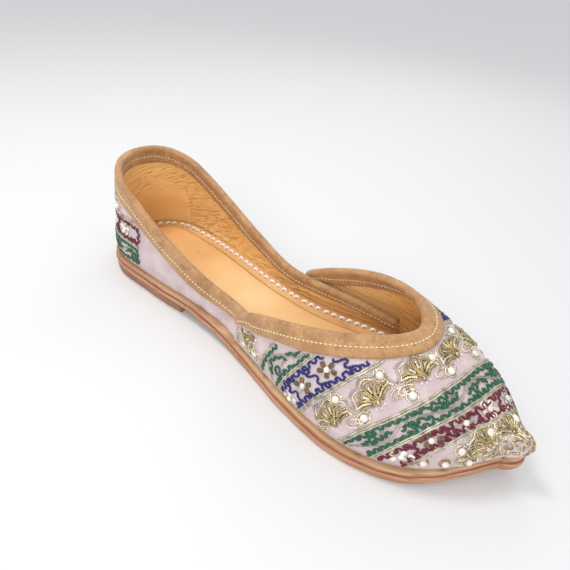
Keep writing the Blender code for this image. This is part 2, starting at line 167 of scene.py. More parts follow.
def underside(x):
    heel = (HEEL_LIFT + CLEARANCE) * (1 - smooth_step(x, HEEL_SEAT_END, BALL_START))
    spring = np.maximum(np.asarray(x, float) - BALL_END, 0.0) / (SHOE_LENGTH - HEEL_WIDTH / 2 - BALL_END)
    return heel + TOE_SPRING * spring**2


def outsole_thickness(x):
    return OUTSOLE_REAR + (OUTSOLE_FRONT - OUTSOLE_REAR) * smooth_step(x, HEEL_SEAT_END, BALL_START)


def midsole_bottom(x):
    return underside(x) + outsole_thickness(x) + CLEARANCE


def feather_height(x):
    """Height at which the upper and the insole stand on the midsole."""
    return midsole_bottom(x) + MIDSOLE + CLEARANCE


def foot_of(side, place):
    """(centre x, outward direction, reach) of the rib at a place along the last's lower edge: under 0 round
    the heel, up to RUN along the side, and beyond it round the nib."""
    place = np.asarray(place, float)
    side = np.asarray(side, float)
    turn = np.minimum(place, 0.0) / HEEL_RADIUS + np.maximum(place - RUN, 0.0) / NIB_RADIUS
    turn = np.clip(turn, -math.pi / 2, math.pi / 2)
    cx = np.clip(place, 0.0, RUN)
    return cx, np.sin(turn), side * np.cos(turn), half_width(side, cx)


def bulge(height):
    return BULGE * np.sin(math.pi * np.clip(height / BULGE_HEIGHT, 0.0, 1.0))


def last_point(side, place, turn):
    """The last's surface: turn is 0 at the sole and 1 at the ridge."""
    cx, dx, dy, reach = foot_of(side, place)
    angle = np.asarray(turn, float) * math.pi / 2
    out = np.maximum(np.cos(angle), 0.0) ** (2 / SECTION_POWER)
    up = np.maximum(np.sin(angle), 0.0) ** (2 / SECTION_POWER)
    low = feather_height(cx + dx * reach)
    z = low + (ridge_height(cx) - low) * up
    r = out * (reach + bulge(z - low))
    return np.stack(np.broadcast_arrays(cx + dx * r, centre_y(cx) + dy * r, z), axis=-1)


def last_field(p):
    """Below 0 inside the last, 0 on it and over 0 outside it."""
    cx = np.clip(p[..., 0], 0.0, RUN)
    dx, dy = p[..., 0] - cx, p[..., 1] - centre_y(cx)
    r = np.hypot(dx, dy)
    reach = half_width(np.where(dy < 0, RIGHT, LEFT), cx)
    low = feather_height(cx + dx / np.maximum(r, 1e-9) * reach)
    up = np.maximum((p[..., 2] - low) / (ridge_height(cx) - low), 0.0)
    return (r / (reach + bulge(p[..., 2] - low))) ** SECTION_POWER + up**SECTION_POWER - 1


def field_slope(p):
    step = 0.05
    rises = [last_field(p + step * axis) - last_field(p - step * axis) for axis in np.eye(3)]
    return np.stack(rises, axis=-1) / (2 * step)


def unit(v):
    return v / np.maximum(np.linalg.norm(v, axis=-1, keepdims=True), 1e-9)


def outward(p):
    return unit(field_slope(p))


def onto_last(p, steps=3):
    for _ in range(steps):
        slope = field_slope(p)
        p = p - slope * (last_field(p)[..., None] / np.sum(slope * slope, axis=-1, keepdims=True))
    return p


def face_direction(p, base):
    """Outward direction of a wall's thickness: level where the wall stands on the midsole."""
    n = outward(p)
    n[..., 2] *= smooth_step(p[..., 2] - base, 0.0, WALL_LEVEL)
    return unit(n)


def turn_at_height(side, place, z):
    cx, dx, _, reach = foot_of(side, place)
    low = feather_height(cx + dx * reach)
    up = np.clip((z - low) / (ridge_height(cx) - low), 0.0, 1.0)
    return np.arcsin(up ** (SECTION_POWER / 2)) * 2 / math.pi


def throat_turn(place):
    """The vamp's edge: rises from the corner and closes over the ridge at the throat."""
    k = np.clip((np.asarray(place, float) - CORNER) / (THROAT - CORNER), 0.0, 1.0)
    rise = 1 - (1 - k**THROAT_ALONG_POWER) ** (1 / THROAT_ACROSS_POWER)
    return CORNER_TURN + (1 - CORNER_TURN) * rise


def quarter_offset(place, height):
    """How far outside the last the quarter's face stands: in the seam below, and clear of the vamp above."""
    seam = SEAM_LAP * smooth_step(place, SEAM_START, SEAM_FULL)
    seam = seam * (1 - smooth_step(height, SEAM_FOOT, SEAM_HEIGHT))
    gap = WING_GAP * smooth_step(place, WING_START, SEAM_FULL)
    lean = WING_LEAN * smooth_step(place, WING_LEAN_START, WING_END)
    return seam - (gap + lean) * smooth_step(height, SEAM_FOOT, WING_HEIGHT)


def grid_faces(rows, columns, start=0, around=False):
    """Quads of a grid of points. around joins its last column to its first."""
    i, j = np.meshgrid(np.arange(rows - 1), np.arange(columns if around else columns - 1), indexing="ij")
    k = (j + 1) % columns
    corners = [i * columns + j, i * columns + k, (i + 1) * columns + k, (i + 1) * columns + j]
    return start + np.stack(corners, axis=-1).reshape(-1, 4)


def mesh_piece(name, points, faces, finishes, slots=None, marks=None, weld=True):
    """A smooth closed piece from points in millimetres. finishes are its materials, and slots says of each
    face which of them it has. marks are each point's two lengths for the grain of its material."""
    mesh = bpy.data.meshes.new(name)
    mesh.from_pydata(np.asarray(points, float) * MM, [], [list(map(int, face)) for face in faces])
    for made in finishes:
        mesh.materials.append(made)
    if slots is not None:
        mesh.polygons.foreach_set("material_index", np.asarray(slots, np.int32))
    if marks is not None:
        layer = mesh.uv_layers.new(name="grain")
        loops = np.empty(len(mesh.loops), np.int32)
        mesh.loops.foreach_get("vertex_index", loops)
        layer.data.foreach_set("uv", np.asarray(marks, np.float32)[loops].ravel())
    piece = bpy.data.objects.new(name, mesh)
    bpy.context.scene.collection.objects.link(piece)
    shape = bmesh.new()
    shape.from_mesh(mesh)
    if weld:
        bmesh.ops.remove_doubles(shape, verts=shape.verts, dist=1e-6)
    bmesh.ops.recalc_face_normals(shape, faces=shape.faces)
    if weld and shape.calc_volume(signed=True) < 0:
        bmesh.ops.reverse_faces(shape, faces=shape.faces)
    shape.to_mesh(mesh)
    shape.free()
    mesh.polygons.foreach_set("use_smooth", np.ones(len(mesh.polygons), bool))
    return piece


def new_finish(name, colour, roughness):
    """An empty procedural material: (material, node tree, its shader)."""
    made = bpy.data.materials.new(name)
    made.use_nodes = True
    tree = made.node_tree
    shader = tree.nodes["Principled BSDF"]
    shader.inputs["Base Color"].default_value = (*colour, 1.0)
    shader.inputs["Roughness"].default_value = roughness
    return made, tree, shader


def add_node(tree, kind, **values):
    """A node with values set on its properties, or on its sockets by their names."""
    node = tree.nodes.new(kind)
    for name, value in values.items():
        if hasattr(node, name):
            setattr(node, name, value)
        else:
            node.inputs[name].default_value = value
    return node


def texture_of(tree, kind, mapping, by_grain, **values):
    """A texture over the piece. Its scale is in features per metre, or per centimetre by the grain marks."""
    place = add_node(tree, "ShaderNodeTexCoord")
    fit = add_node(tree, "ShaderNodeMapping", **mapping)
    texture = add_node(tree, kind, **values)
    tree.links.new(place.outputs["UV" if by_grain else "Object"], fit.inputs["Vector"])
    tree.links.new(fit.outputs["Vector"], texture.inputs["Vector"])
    return texture


def noise_of(tree, scale, detail=3.0, stretch=(1, 1, 1), by_grain=False, roughness=0.55):
    noise = texture_of(tree, "ShaderNodeTexNoise", {"Scale": stretch}, by_grain,
                       Scale=scale, Detail=detail, Roughness=roughness)
    return noise.outputs["Fac"]


def cells_of(tree, scale, by_grain=False):
    """Distance to the nearest edge of a cell pattern, for the pebbles of leather."""
    cells = texture_of(tree, "ShaderNodeTexVoronoi", {}, by_grain, feature="DISTANCE_TO_EDGE", Scale=scale)
    return cells.outputs["Distance"]


def shift_range(tree, value, low, high, to_low=0.0, to_high=1.0):
    fit = add_node(tree, "ShaderNodeMapRange")
    for socket, number in zip(("From Min", "From Max", "To Min", "To Max"), (low, high, to_low, to_high)):
        fit.inputs[socket].default_value = number
    tree.links.new(value, fit.inputs["Value"])
    return fit.outputs["Result"]


def product(tree, *values):
    times = add_node(tree, "ShaderNodeMath", operation="MULTIPLY")
    for value, socket in zip(values, times.inputs):
        tree.links.new(value, socket)
    return times.outputs["Value"]


def paint(tree, shader, value, places, colours):
    """Colours the piece by a value, with each colour at its place in the value's range."""
    ramp = add_node(tree, "ShaderNodeValToRGB")
    while len(ramp.color_ramp.elements) < len(colours):
        ramp.color_ramp.elements.new(0.5)
    for element, place, colour in zip(ramp.color_ramp.elements, places, colours):
        element.position = place
        element.color = (*colour, 1.0)
    tree.links.new(value, ramp.inputs["Fac"])
    tree.links.new(ramp.outputs["Color"], shader.inputs["Base Color"])
    return ramp.outputs["Color"]


def stain(tree, shader, under, value, low, high, colour, most):
    """Mixes another colour in as a value goes from low to high, up to the share most."""
    mix = add_node(tree, "ShaderNodeMix", data_type="RGBA")
    inputs = [socket for socket in mix.inputs if socket.type == "RGBA"]
    inputs[1].default_value = (*colour, 1.0)
    tree.links.new(under, inputs[0])
    tree.links.new(shift_range(tree, value, low, high, 0.0, most), mix.inputs[0])
    result = [socket for socket in mix.outputs if socket.type == "RGBA"][0]
    tree.links.new(result, shader.inputs["Base Color"])
    return result


def emboss(tree, shader, value, depth, strength=1.0):
    """Bump of that depth in metres, on top of any bump that the material has."""
    bump = add_node(tree, "ShaderNodeBump", Strength=strength, Distance=depth)
    if shader.inputs["Normal"].is_linked:
        tree.links.new(shader.inputs["Normal"].links[0].from_socket, bump.inputs["Normal"])
    tree.links.new(value, bump.inputs["Height"])
    tree.links.new(bump.outputs["Normal"], shader.inputs["Normal"])


def make_satin():
    """Lilac satin with a fine weave, faint puckers from the needlework, and soiling in clouds."""
    made, tree, shader = new_finish("lilac satin", (0.76, 0.62, 0.66), 0.52)
    shader.inputs["Sheen Weight"].default_value = 0.35
    shader.inputs["Sheen Roughness"].default_value = 0.4
    colours = (0.56, 0.42, 0.435), (0.63, 0.495, 0.505), (0.70, 0.585, 0.58)
    colour = paint(tree, shader, noise_of(tree, 120.0, 5.0), (0.3, 0.5, 0.72), colours)
    stain(tree, shader, colour, noise_of(tree, 160.0, 5.0), 0.56, 0.75, (0.50, 0.38, 0.36), 0.4)
    emboss(tree, shader, noise_of(tree, 130.0, 3.0, stretch=(1.0, 1.8, 1.8)), 0.0006, 0.5)
    emboss(tree, shader, noise_of(tree, 26.0, 1.0, stretch=(1.0, 9.0, 1.0), by_grain=True), 0.00012, 0.5)
    return made


def make_lining():
    """Tan goatskin, pebbled, with long fine creases that lean along the shoe and painted shade in their
    valleys.
    """
    made, tree, shader = new_finish("tan goatskin lining", (0.92, 0.57, 0.24), 0.45)
    colours = (0.90, 0.53, 0.19), (0.94, 0.59, 0.23), (0.96, 0.65, 0.29)
    colour = paint(tree, shader, noise_of(tree, 28.0, 4.0), (0.28, 0.5, 0.75), colours)
    leaning = {"vector_type": "TEXTURE", "Rotation": (0.0, 0.0, 0.38), "Scale": (1.0, 0.17, 1.0)}
    noise = texture_of(tree, "ShaderNodeTexNoise", leaning, True,
                       Scale=1.3, Detail=1.5, Roughness=0.45, Distortion=0.3)
    waves = noise.outputs["Fac"]
    creased = shift_range(tree, noise_of(tree, 20.0, 1.0), 0.42, 0.60, 0.12)
    # Painted shade: the valleys of the creases are darkened, standing in for their shadow.
    crease_shade = product(tree, shift_range(tree, waves, 0.44, 0.36), creased)
    stain(tree, shader, colour, crease_shade, 0.0, 1.0, (0.50, 0.24, 0.07), 0.6)
    emboss(tree, shader, product(tree, shift_range(tree, waves, 0.36, 0.60), creased), 0.0006, 0.9)
    emboss(tree, shader, shift_range(tree, cells_of(tree, 13.0, by_grain=True), 0.0, 0.25), 0.00008, 0.6)
    return made


satin = make_satin()
lining = make_lining()


def rib_rows(places):
    """Ribs from the last of the places up the right side, round the first one, and back down the left."""
    places = np.asarray(places, float)
    side = np.concatenate([np.full(len(places), RIGHT), np.full(len(places) - 1, LEFT)])
    return side, np.concatenate([places[::-1], places[1:]])


def quarter_places(at_heel, at_side, in_wing):
    """Places from the heel's back to the wing's front, with so many in each of the three stretches."""
    stretches = (-HEEL_ARC, 0.0, at_heel), (0.0, CORNER, at_side), (CORNER, WING_END, in_wing)
    return np.unique(np.concatenate([np.linspace(*stretch) for stretch in stretches]))


def throat_places(count):
    """Places from the vamp's corner to the throat, closer together at both."""
    return CORNER + (THROAT - CORNER) * np.sin(np.linspace(0, math.pi / 2, count)) ** 1.6


def closing(count, power):
    """Shares from 0 to 1 that come closer together towards 1."""
    return 1 - (1 - np.linspace(0.0, 1.0, count)) ** power


def run_along(path):
    """Length along a path up to each of its points."""
    return np.concatenate([[0.0], np.cumsum(np.linalg.norm(np.diff(path, axis=0), axis=-1))])


def run_marks(points, lift):
    """Grain marks in centimetres of a grid: its length along the middle column, and up each row."""
    along = run_along(points[:, points.shape[1] // 2])
    up = np.pad(np.cumsum(np.linalg.norm(np.diff(points, axis=1), axis=-1), axis=1), ((0, 0), (1, 0)))
    return np.stack([np.broadcast_to(along[:, None], up.shape) / 10, up / 10 + lift], axis=-1).reshape(-1, 2)


def wall_shell(outer, inner, open_top):
    """Points, faces, slots and marks of a wall between two grids, satin outside and lining inside."""
    for grid in (outer, inner):
        grid[:, 0, 2] = feather_height(grid[:, 0, 0])
    rows, columns = outer.shape[:2]
    count, top = rows * columns, columns - 1

    def through(a, b):
        """A face through the wall, from two points outside to the two behind them."""
        return [a, b, count + b, count + a]

    outside = grid_faces(rows, columns)
    feet = [i * columns for i in range(rows - 1)]
    edges = [i * columns + top for i in range(rows - 1) if open_top[i] and open_top[i + 1]]
    foot, rim = [[through(a, a + columns) for a in along] for along in (feet, edges)]
    ends = [through(i * columns + j, i * columns + j + 1) for i in (0, rows - 1) for j in range(top)]
    faces = np.concatenate([outside, outside + count, foot, rim, ends])
    slots = [0] * len(outside) + [1] * len(outside) + [0] * (len(foot) + len(rim) + len(ends))
    points = np.concatenate([outer.reshape(-1, 3), inner.reshape(-1, 3)])
    return points, faces, slots, np.concatenate([run_marks(outer, 0.0), run_marks(inner, 20.0)])


def vamp_walls():
    front = THROAT + (RUN - THROAT) * closing(60, 1.7)[1:]
    nib = np.linspace(RUN, RUN + NIB_ARC, 9)[1:]
    side, place = rib_rows(np.concatenate([throat_places(44), front, nib])[::-1])
    inner = last_point(side[:, None], place[:, None], throat_turn(place)[:, None] * closing(44, 1.3))
    outer = inner + face_direction(inner, inner[:, :1, 2]) * WALL
    return outer, inner, place <= THROAT + 1e-6


# Troughs where the waist has bent, in the lining and the satin of the quarter. Each runs from a low end to a
# high one, and is as wide and as deep as its row says.
LINING_FOLDS = (
    # side, place, height, place, height, width, depth
    (LEFT, -9.0, 14.0, -12.0, 34.0, 1.3, 1.08),
    (LEFT, 6.0, 14.0, 19.0, 35.0, 1.2, 0.84),
    (LEFT, 13.0, 13.5, 26.0, 31.0, 1.0, 1.08),
    (LEFT, 20.0, 14.5, 32.0, 30.0, 1.0, 0.96),
    (LEFT, 25.0, 13.0, 40.0, 29.0, 1.2, 1.20),
    (LEFT, 33.0, 13.5, 45.0, 26.0, 1.0, 0.96),
    (LEFT, 39.0, 13.0, 53.0, 24.5, 1.1, 1.08),
    (LEFT, 48.0, 12.5, 61.0, 21.0, 1.0, 0.84),
    (LEFT, 57.0, 13.0, 76.0, 17.0, 1.0, 0.96),
    (LEFT, 70.0, 12.0, 101.0, 14.0, 1.1, 1.08),
    (RIGHT, 12.0, 14.0, 24.0, 31.0, 1.2, 0.96),
    (RIGHT, 27.0, 13.0, 41.0, 28.0, 1.1, 1.08),
    (RIGHT, 42.0, 13.0, 56.0, 23.0, 1.1, 0.96),
)
SATIN_FOLDS = (
    # side, place, height, place, height, width, depth
    (RIGHT, 44.0, 12.0, 52.0, 24.0, 2.6, 0.35),
    (RIGHT, 58.0, 11.0, 67.0, 20.0, 2.4, 0.45),
    (RIGHT, 70.0, 11.0, 77.0, 18.0, 2.2, 0.35),
    (LEFT, 47.0, 12.0, 55.0, 23.0, 2.6, 0.40),
    (LEFT, 62.0, 11.0, 71.0, 19.0, 2.3, 0.45),
)
FOLD_SWAY = 0.04  # of a fold's length, to either side of its line


def fold_depth(folds, side, place, height):
    depth = np.zeros(np.broadcast(place, height).shape)
    for fold_side, start, low, end, high, width, most in folds:
        dx, dz = end - start, high - low
        share = np.clip(((place - start) * dx + (height - low) * dz) / (dx * dx + dz * dz), 0.0, 1.0)
        sway = FOLD_SWAY * np.sin(share * 7.0 + start)
        away = np.hypot(place - start - dx * share - dz * sway, height - low - dz * share + dx * sway)
        depth += np.where(side == fold_side, most * np.exp(-((away / width) ** 2)), 0.0)
    return depth


def quarter_walls():
    side, place = rib_rows(quarter_places(44, 96, 36))
    top_turn = turn_at_height(side, place, quarter_top(place))
    surface = last_point(side[:, None], place[:, None], top_turn[:, None] * closing(40, 1.3))
    base = surface[:, :1, 2]
    n = face_direction(surface, base)
    offset = quarter_offset(place[:, None], surface[..., 2] - base)
    where = (side[:, None], place[:, None], surface[..., 2])
    outer = surface + n * (offset - fold_depth(SATIN_FOLDS, *where))[..., None]
    inner = surface + n * (np.minimum(offset, 0.0) - WALL + fold_depth(LINING_FOLDS, *where))[..., None]
    return outer, inner, np.ones(len(place), bool)


def join_shells(name, shells, finishes):
    points, faces, slots, marks = zip(*shells)
    starts = np.cumsum([0] + [len(p) for p in points[:-1]])
    faces = np.concatenate([f + start for f, start in zip(faces, starts)])
    return mesh_piece(name, np.concatenate(points), faces, finishes, sum(slots, []), np.concatenate(marks))


shells = [wall_shell(*vamp_walls()), wall_shell(*quarter_walls())]
upper = join_shells("embroidered_upper", shells, [satin, lining])
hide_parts("upper")
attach(upper, "root")


# The bindings. Each is one strip of suede-faced tan leather folded over the raw edge of the wall, and its two
# legs are caught by a single row of small cream stitches right through.
BINDING = 0.8
BINDING_WIDTH = 8.0
WING_BINDING_WIDTH = 6.0
CORNER_BINDING_WIDTH = 4.0
CORNER_BINDING_END = 102.0
CROWN = 1.5  # how far the fold stands over the wall's edge
LEG_SECTION = (
    # share of the width, share of the thickness
    (1.0, 0.35),
    (0.97, 0.8),
    (0.9, 1.0),
    (0.75, 1.06),
    (0.6, 0.92),
    (0.45, 0.85),
    (0.3, 1.0),
    (0.15, 1.08),
    (0.05, 1.04),
    (0.0, 1.0),
)
STITCH_SHARE = 0.52  # of the width, down to the stitches
STITCH_SEAT = 0.85  # of the thickness, which they are drawn into
STITCH_PITCH = 2.0
STITCH_LENGTH = 1.35
STITCH_RADIUS = 0.3


def make_binding_leather():
    made, tree, shader = new_finish("tan binding leather", (0.48, 0.25, 0.10), 0.62)
    shader.inputs["Sheen Weight"].default_value = 0.15
    colours = (0.33, 0.165, 0.062), (0.45, 0.235, 0.095), (0.58, 0.335, 0.15)
    colour = paint(tree, shader, noise_of(tree, 90.0, 6.0, roughness=0.7), (0.32, 0.5, 0.72), colours)
    colour = stain(tree, shader, colour, noise_of(tree, 650.0, 4.0), 0.55, 0.70, (0.66, 0.43, 0.23), 0.5)
    stain(tree, shader, colour, noise_of(tree, 500.0, 3.0), 0.44, 0.32, (0.24, 0.11, 0.045), 0.45)
    emboss(tree, shader, noise_of(tree, 420.0, 5.0, roughness=0.65), 0.0007, 0.75)
    emboss(tree, shader, noise_of(tree, 1900.0, 2.0), 0.00015, 0.6)
    return made


def shades(colour, *strengths):
    return [tuple(min(part * strength, 1.0) for part in colour) for strength in strengths]


def make_thread(name, colour, roughness=0.55, sheen=0.3, shade=0.72):
    made, tree, shader = new_finish(name, colour, roughness)
    shader.inputs["Sheen Weight"].default_value = sheen
    fibres = noise_of(tree, 2600.0, 2.0)
    paint(tree, shader, fibres, (0.3, 0.7), shades(colour, shade, 1.22))
    emboss(tree, shader, fibres, 0.00012, 0.6)
    return made


binding_leather = make_binding_leather()
cream_thread = make_thread("cream thread", (0.88, 0.76, 0.50))


def step_down(p, down, distance, steps=6):
    """Points that far along the last's face from p, starting in the direction down."""
    for _ in range(steps):
        n = outward(p)
        down = unit(down - n * np.sum(down * n, axis=-1, keepdims=True))
        p = onto_last(p + down * np.asarray(distance)[..., None] / steps, 1)
    return p


def tangents(path):
    along = np.empty_like(path)
    along[1:-1] = path[2:] - path[:-2]
    along[0], along[-1] = path[1] - path[0], path[-1] - path[-2]
    return unit(along)


def down_from(edge):
    """Directions down the last's face, square to an edge."""
    return unit(np.cross(outward(edge), tangents(edge)))


def folded_strip(name, points, widths, outer_face, inner_face, shift):
    """A strip folded over an edge: its legs taper to a thin skived end, and its crown is round."""
    wobble = np.cumsum(np.random.RandomState(7).normal(0.0, 0.10, len(points)))
    wobble = np.pad(wobble - wobble.mean(), 8, "edge")
    wobble = np.convolve(wobble, np.hanning(17) / 8, "valid")[: len(points)]
    widths = widths + np.clip(wobble, -0.35, 0.35)
    down = down_from(points)
    out, back = outer_face + CLEARANCE, inner_face - CLEARANCE
    legs = [step_down(points, down, widths * share) if share else points for share, _ in LEG_SECTION]
    leg_rows = [(leg, outward(leg), shift(leg)[:, None], thick) for leg, (_, thick) in zip(legs, LEG_SECTION)]

    def leg_face(depth, thickness=0.0):
        return [leg + n * (depth + move + thickness * thick) for leg, n, move, thick in leg_rows]

    _, n, move, _ = leg_rows[-1]
    middle, reach = (out + back) / 2 + move, (out - back) / 2 + BINDING
    crown = [points + n * (middle + reach * math.cos(angle)) - down * CROWN * math.sin(angle)
             for angle in np.radians([30, 60, 90, 120, 150])]
    ring = leg_face(out, BINDING) + crown + leg_face(back, -BINDING)[::-1]
    ring += leg_face(back) + [points + n * middle - down * CLEARANCE] + leg_face(out)[::-1]
    grid = np.stack(ring, axis=1)
    rows, size = grid.shape[:2]
    faces = [list(face) for face in grid_faces(rows, size, around=True)]
    for a in (0, (rows - 1) * size):
        z = a + size - 1
        faces += [[a + j, a + j + 1, z - 1 - j, z - j] for j in range(size // 2 - 1)]
    return mesh_piece(name, grid.reshape(-1, 3), faces, [binding_leather])


def tube(path, normals, radius, sides=6, twist=0.0, pitch=1.0, flat=1.0, sink=0.0):
    """Points and faces of a thread laid along a path. twist makes it a two-ply cord of that pitch."""
    count = len(path)
    along = tangents(path)
    across = unit(np.cross(along, normals))
    up = unit(np.cross(across, along))
    angle = np.linspace(0, 2 * math.pi, sides, endpoint=False)[None, :]
    radius = np.broadcast_to(np.asarray(radius, float), (count,))[:, None]
    reach = radius * (1 + twist * np.cos(2 * angle - 2 * math.pi * run_along(path)[:, None] / pitch))
    points = path[:, None] + across[:, None] * (reach * np.cos(angle))[..., None]
    points = points + up[:, None] * (radius * flat - sink + reach * flat * np.sin(angle))[..., None]
    faces = [list(face) for face in grid_faces(count, sides, around=True)]
    faces += [list(range(sides)), list(range((count - 1) * sides, count * sides))[::-1]]
    return points.reshape(-1, 3), faces


def picked(spots, run, values):
    """What a path's values are at spots along its run."""
    return np.stack([np.interp(spots, run, column) for column in values.T], axis=-1)


def dashes(path, normals):
    """A row of single stitches along a path, each a short swelling dash."""
    run = run_along(path)
    swell = np.array([0.35, 0.85, 1.0, 0.85, 0.35])
    parts = []
    for start in np.arange(STITCH_PITCH / 2, run[-1] - STITCH_PITCH / 2, STITCH_PITCH):
        spots = start + np.linspace(-0.5, 0.5, len(swell)) * STITCH_LENGTH
        n = unit(picked(spots, run, normals))
        dip = 0.3 * STITCH_RADIUS * (1 - swell)[:, None]
        parts.append(tube(picked(spots, run, path) - n * dip, n, STITCH_RADIUS * swell, flat=0.8, sink=0.05))
    return parts


def join_parts(name, parts, finishes, slots=None):
    """One piece from many (points, faces) parts. slots gives each part's place among the finishes."""
    points, faces, face_slots, start = [], [], [], 0
    for number, (p, f) in enumerate(parts):
        points.append(p)
        faces += [[v + start for v in face] for face in f]
        face_slots += [slots[number] if slots else 0] * len(f)
        start += len(p)
    return mesh_piece(name, np.concatenate(points), faces, finishes, face_slots, weld=False)


def stitch_rows(points, widths, outer_face, inner_face, shift):
    """The row of stitches half way down both legs of a strip."""
    line = step_down(points, down_from(points), widths * STITCH_SHARE)
    n, move, seat = outward(line), shift(line)[:, None], CLEARANCE + STITCH_SEAT * BINDING
    outside = line + n * (outer_face + seat + move)
    inside = line + n * (inner_face - seat + move)
    return dashes(outside, n) + dashes(inside, -n)


def quarter_edge():
    """The topline's points, and the width of its binding at each."""
    side, place = rib_rows(quarter_places(40, 60, 30))
    points = last_point(side, place, turn_at_height(side, place, quarter_top(place)))
    narrowing = BINDING_WIDTH - WING_BINDING_WIDTH
    return points, BINDING_WIDTH - narrowing * smooth_step(place, WING_START, CORNER_BINDING_END)


def vamp_edge():
    """The same of the vamp's edge, which runs from left to right."""
    right_to_left, place = rib_rows(throat_places(90)[::-1])
    points = last_point(-right_to_left, place, throat_turn(place))
    growth = BINDING_WIDTH - CORNER_BINDING_WIDTH
    return points, CORNER_BINDING_WIDTH + growth * smooth_step(place, CORNER, CORNER_BINDING_END)


def quarter_shift(p):
    return quarter_offset(p[..., 0], p[..., 2] - feather_height(p[..., 0]))


def no_shift(p):
    return np.zeros(p.shape[:-1])


for name, edge, faces_at, shift in (
    ("quarter_binding", quarter_edge(), (0.0, -WALL), quarter_shift),
    ("vamp_binding", vamp_edge(), (WALL, 0.0), no_shift),
):
    strip = folded_strip(name + "_strip", *edge, *faces_at, shift)
    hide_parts(name)
    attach(strip, "root")
    stitches = join_parts(name + "_stitches", stitch_rows(*edge, *faces_at, shift), [cream_thread])
    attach(stitches, "root")


# The insole and its sock. The insole is firm tan leather, whip-stitched to the upper round its margin with
# thick white thread. The sock is a thin padded leather glued down inside those stitches; its cut edge and the
# rim of its top are painted dark as the shadow line along the gap beside the insole.
INSOLE = 2.2
SOCK = 1.5
INSOLE_WIDER_START, INSOLE_WIDER_END = WING_END + 2.0, WING_END + 14.0  # where it fills the wings' room
INSOLE_EDGE = ((-0.4, 0.0), (0.0, 0.25), (0.0, 0.7), (-0.35, 0.95), (-0.9, 1.0))
SOCK_INSET = 8.5
SOCK_INSET_FRONT = 11.5
SOCK_WIDER_START, SOCK_WIDER_END = 76.0, 116.0
SOCK_END = 172.0
SOCK_EDGE = ((-1.9, 0.0), (-1.6, 0.12), (-1.6, 0.6), (-2.3, 0.84), (-4.0, 0.96), (-5.6, 1.0))
SOCK_FLATNESS = 0.955  # of a face's normal upwards, below which it belongs to the cut edge, painted dark as shadow
WHIP_END = 158.0
WHIP_PITCH = 4.4
WHIP_LENGTH = 1.7
WHIP_RADIUS = 0.8
WHIP_RISE = 0.35


def edge_point(side, place, grow):
    """Plan points of the last's lower edge, moved outwards square to that edge."""

    def plain(q):
        cx, dx, dy, reach = foot_of(side, q)
        return np.stack([cx + dx * reach, centre_y(cx) + dy * reach], axis=-1)

    step = 0.2
    run = plain(np.minimum(place + step, RUN + NIB_ARC)) - plain(np.maximum(place - step, -HEEL_ARC))
    square = unit(np.stack([-run[..., 1], run[..., 0]], axis=-1) * side)
    at_end = (place <= -HEEL_ARC) | (place >= RUN + NIB_ARC)
    square = np.where(at_end[..., None], np.stack([np.sign(place), np.zeros_like(place)], axis=-1), square)
    return plain(place) + square * np.asarray(grow)[..., None]


def layer_piece(name, places, grow, low, high, profile, finishes, across=12):
    """A flat layer. profile rows are (beyond the edge, share of the thickness), from below to above."""
    cx = foot_of(RIGHT, places)[0]

    def rim(side):
        levels = []
        for beyond, share in profile:
            xy = edge_point(side, places, grow(cx) + beyond)
            z = low(xy[..., 0]) + (high(xy[..., 0]) - low(xy[..., 0])) * share
            levels.append(np.concatenate([xy, z[..., None]], axis=-1))
        return levels

    right, left = rim(RIGHT), rim(LEFT)
    shares = np.linspace(0.0, 1.0, across)
    rows = [right[0] + (left[0] - right[0]) * share for share in shares] + left[1:-1]
    rows += [left[-1] + (right[-1] - left[-1]) * share for share in shares] + right[-2:0:-1]
    grid = np.stack(rows, axis=1)
    count, size = grid.shape[:2]
    faces = [list(face) for face in grid_faces(count, size, around=True)]
    above = across + len(profile) - 2
    for i, place in ((0, places[0]), (count - 1, places[-1])):
        if -HEEL_ARC < place < RUN + NIB_ARC:
            ring = [i * size + j for j in range(size)]
            bottom, top = ring[:across], ring[above : above + across][::-1]
            faces += [[bottom[j], bottom[j + 1], top[j + 1], top[j]] for j in range(across - 1)]
            faces.append([bottom[-1]] + ring[across:above] + [top[-1]])
            faces.append([top[0]] + ring[above + across :] + [bottom[0]])
    return mesh_piece(name, grid.reshape(-1, 3), faces, finishes)


def fine_places(end=RUN + NIB_ARC):
    front = THROAT + (RUN - THROAT) * closing(50, 1.6)
    rear = [np.linspace(-HEEL_ARC, 0, 24)[:-1], np.linspace(0, THROAT, 90)[:-1]]
    places = np.concatenate(rear + [front[:-1], np.linspace(RUN, RUN + NIB_ARC, 10)])
    return places if end >= RUN else np.append(places[places < end - 0.4], end)


def insole_grow(x):
    return -CLEARANCE - (WALL + CLEARANCE) * (1 - smooth_step(x, INSOLE_WIDER_START, INSOLE_WIDER_END))


def insole_top(x):
    return feather_height(x) + INSOLE


def sock_grow(x):
    wider = (SOCK_INSET_FRONT - SOCK_INSET) * smooth_step(x, SOCK_WIDER_START, SOCK_WIDER_END)
    return insole_grow(x) - SOCK_INSET - wider


def sock_bottom(x):
    return insole_top(x) + CLEARANCE


def sock_top(x):
    return sock_bottom(x) + SOCK


def make_insole_leather(name, colours, crease_colour):
    made, tree, shader = new_finish(name, colours[1], 0.46)
    shader.inputs["Coat Weight"].default_value = 0.08
    shader.inputs["Coat Roughness"].default_value = 0.35
    colour = paint(tree, shader, noise_of(tree, 22.0, 4.0), (0.3, 0.5, 0.72), colours)
    creases = noise_of(tree, 30.0, 6.0, stretch=(0.8, 2.6, 1.0), roughness=0.6)
    stain(tree, shader, colour, creases, 0.42, 0.30, crease_colour, 0.5)
    emboss(tree, shader, creases, 0.0012, 0.35)
    emboss(tree, shader, shift_range(tree, cells_of(tree, 1500.0), 0.0, 0.3), 0.00012, 0.35)
    return made


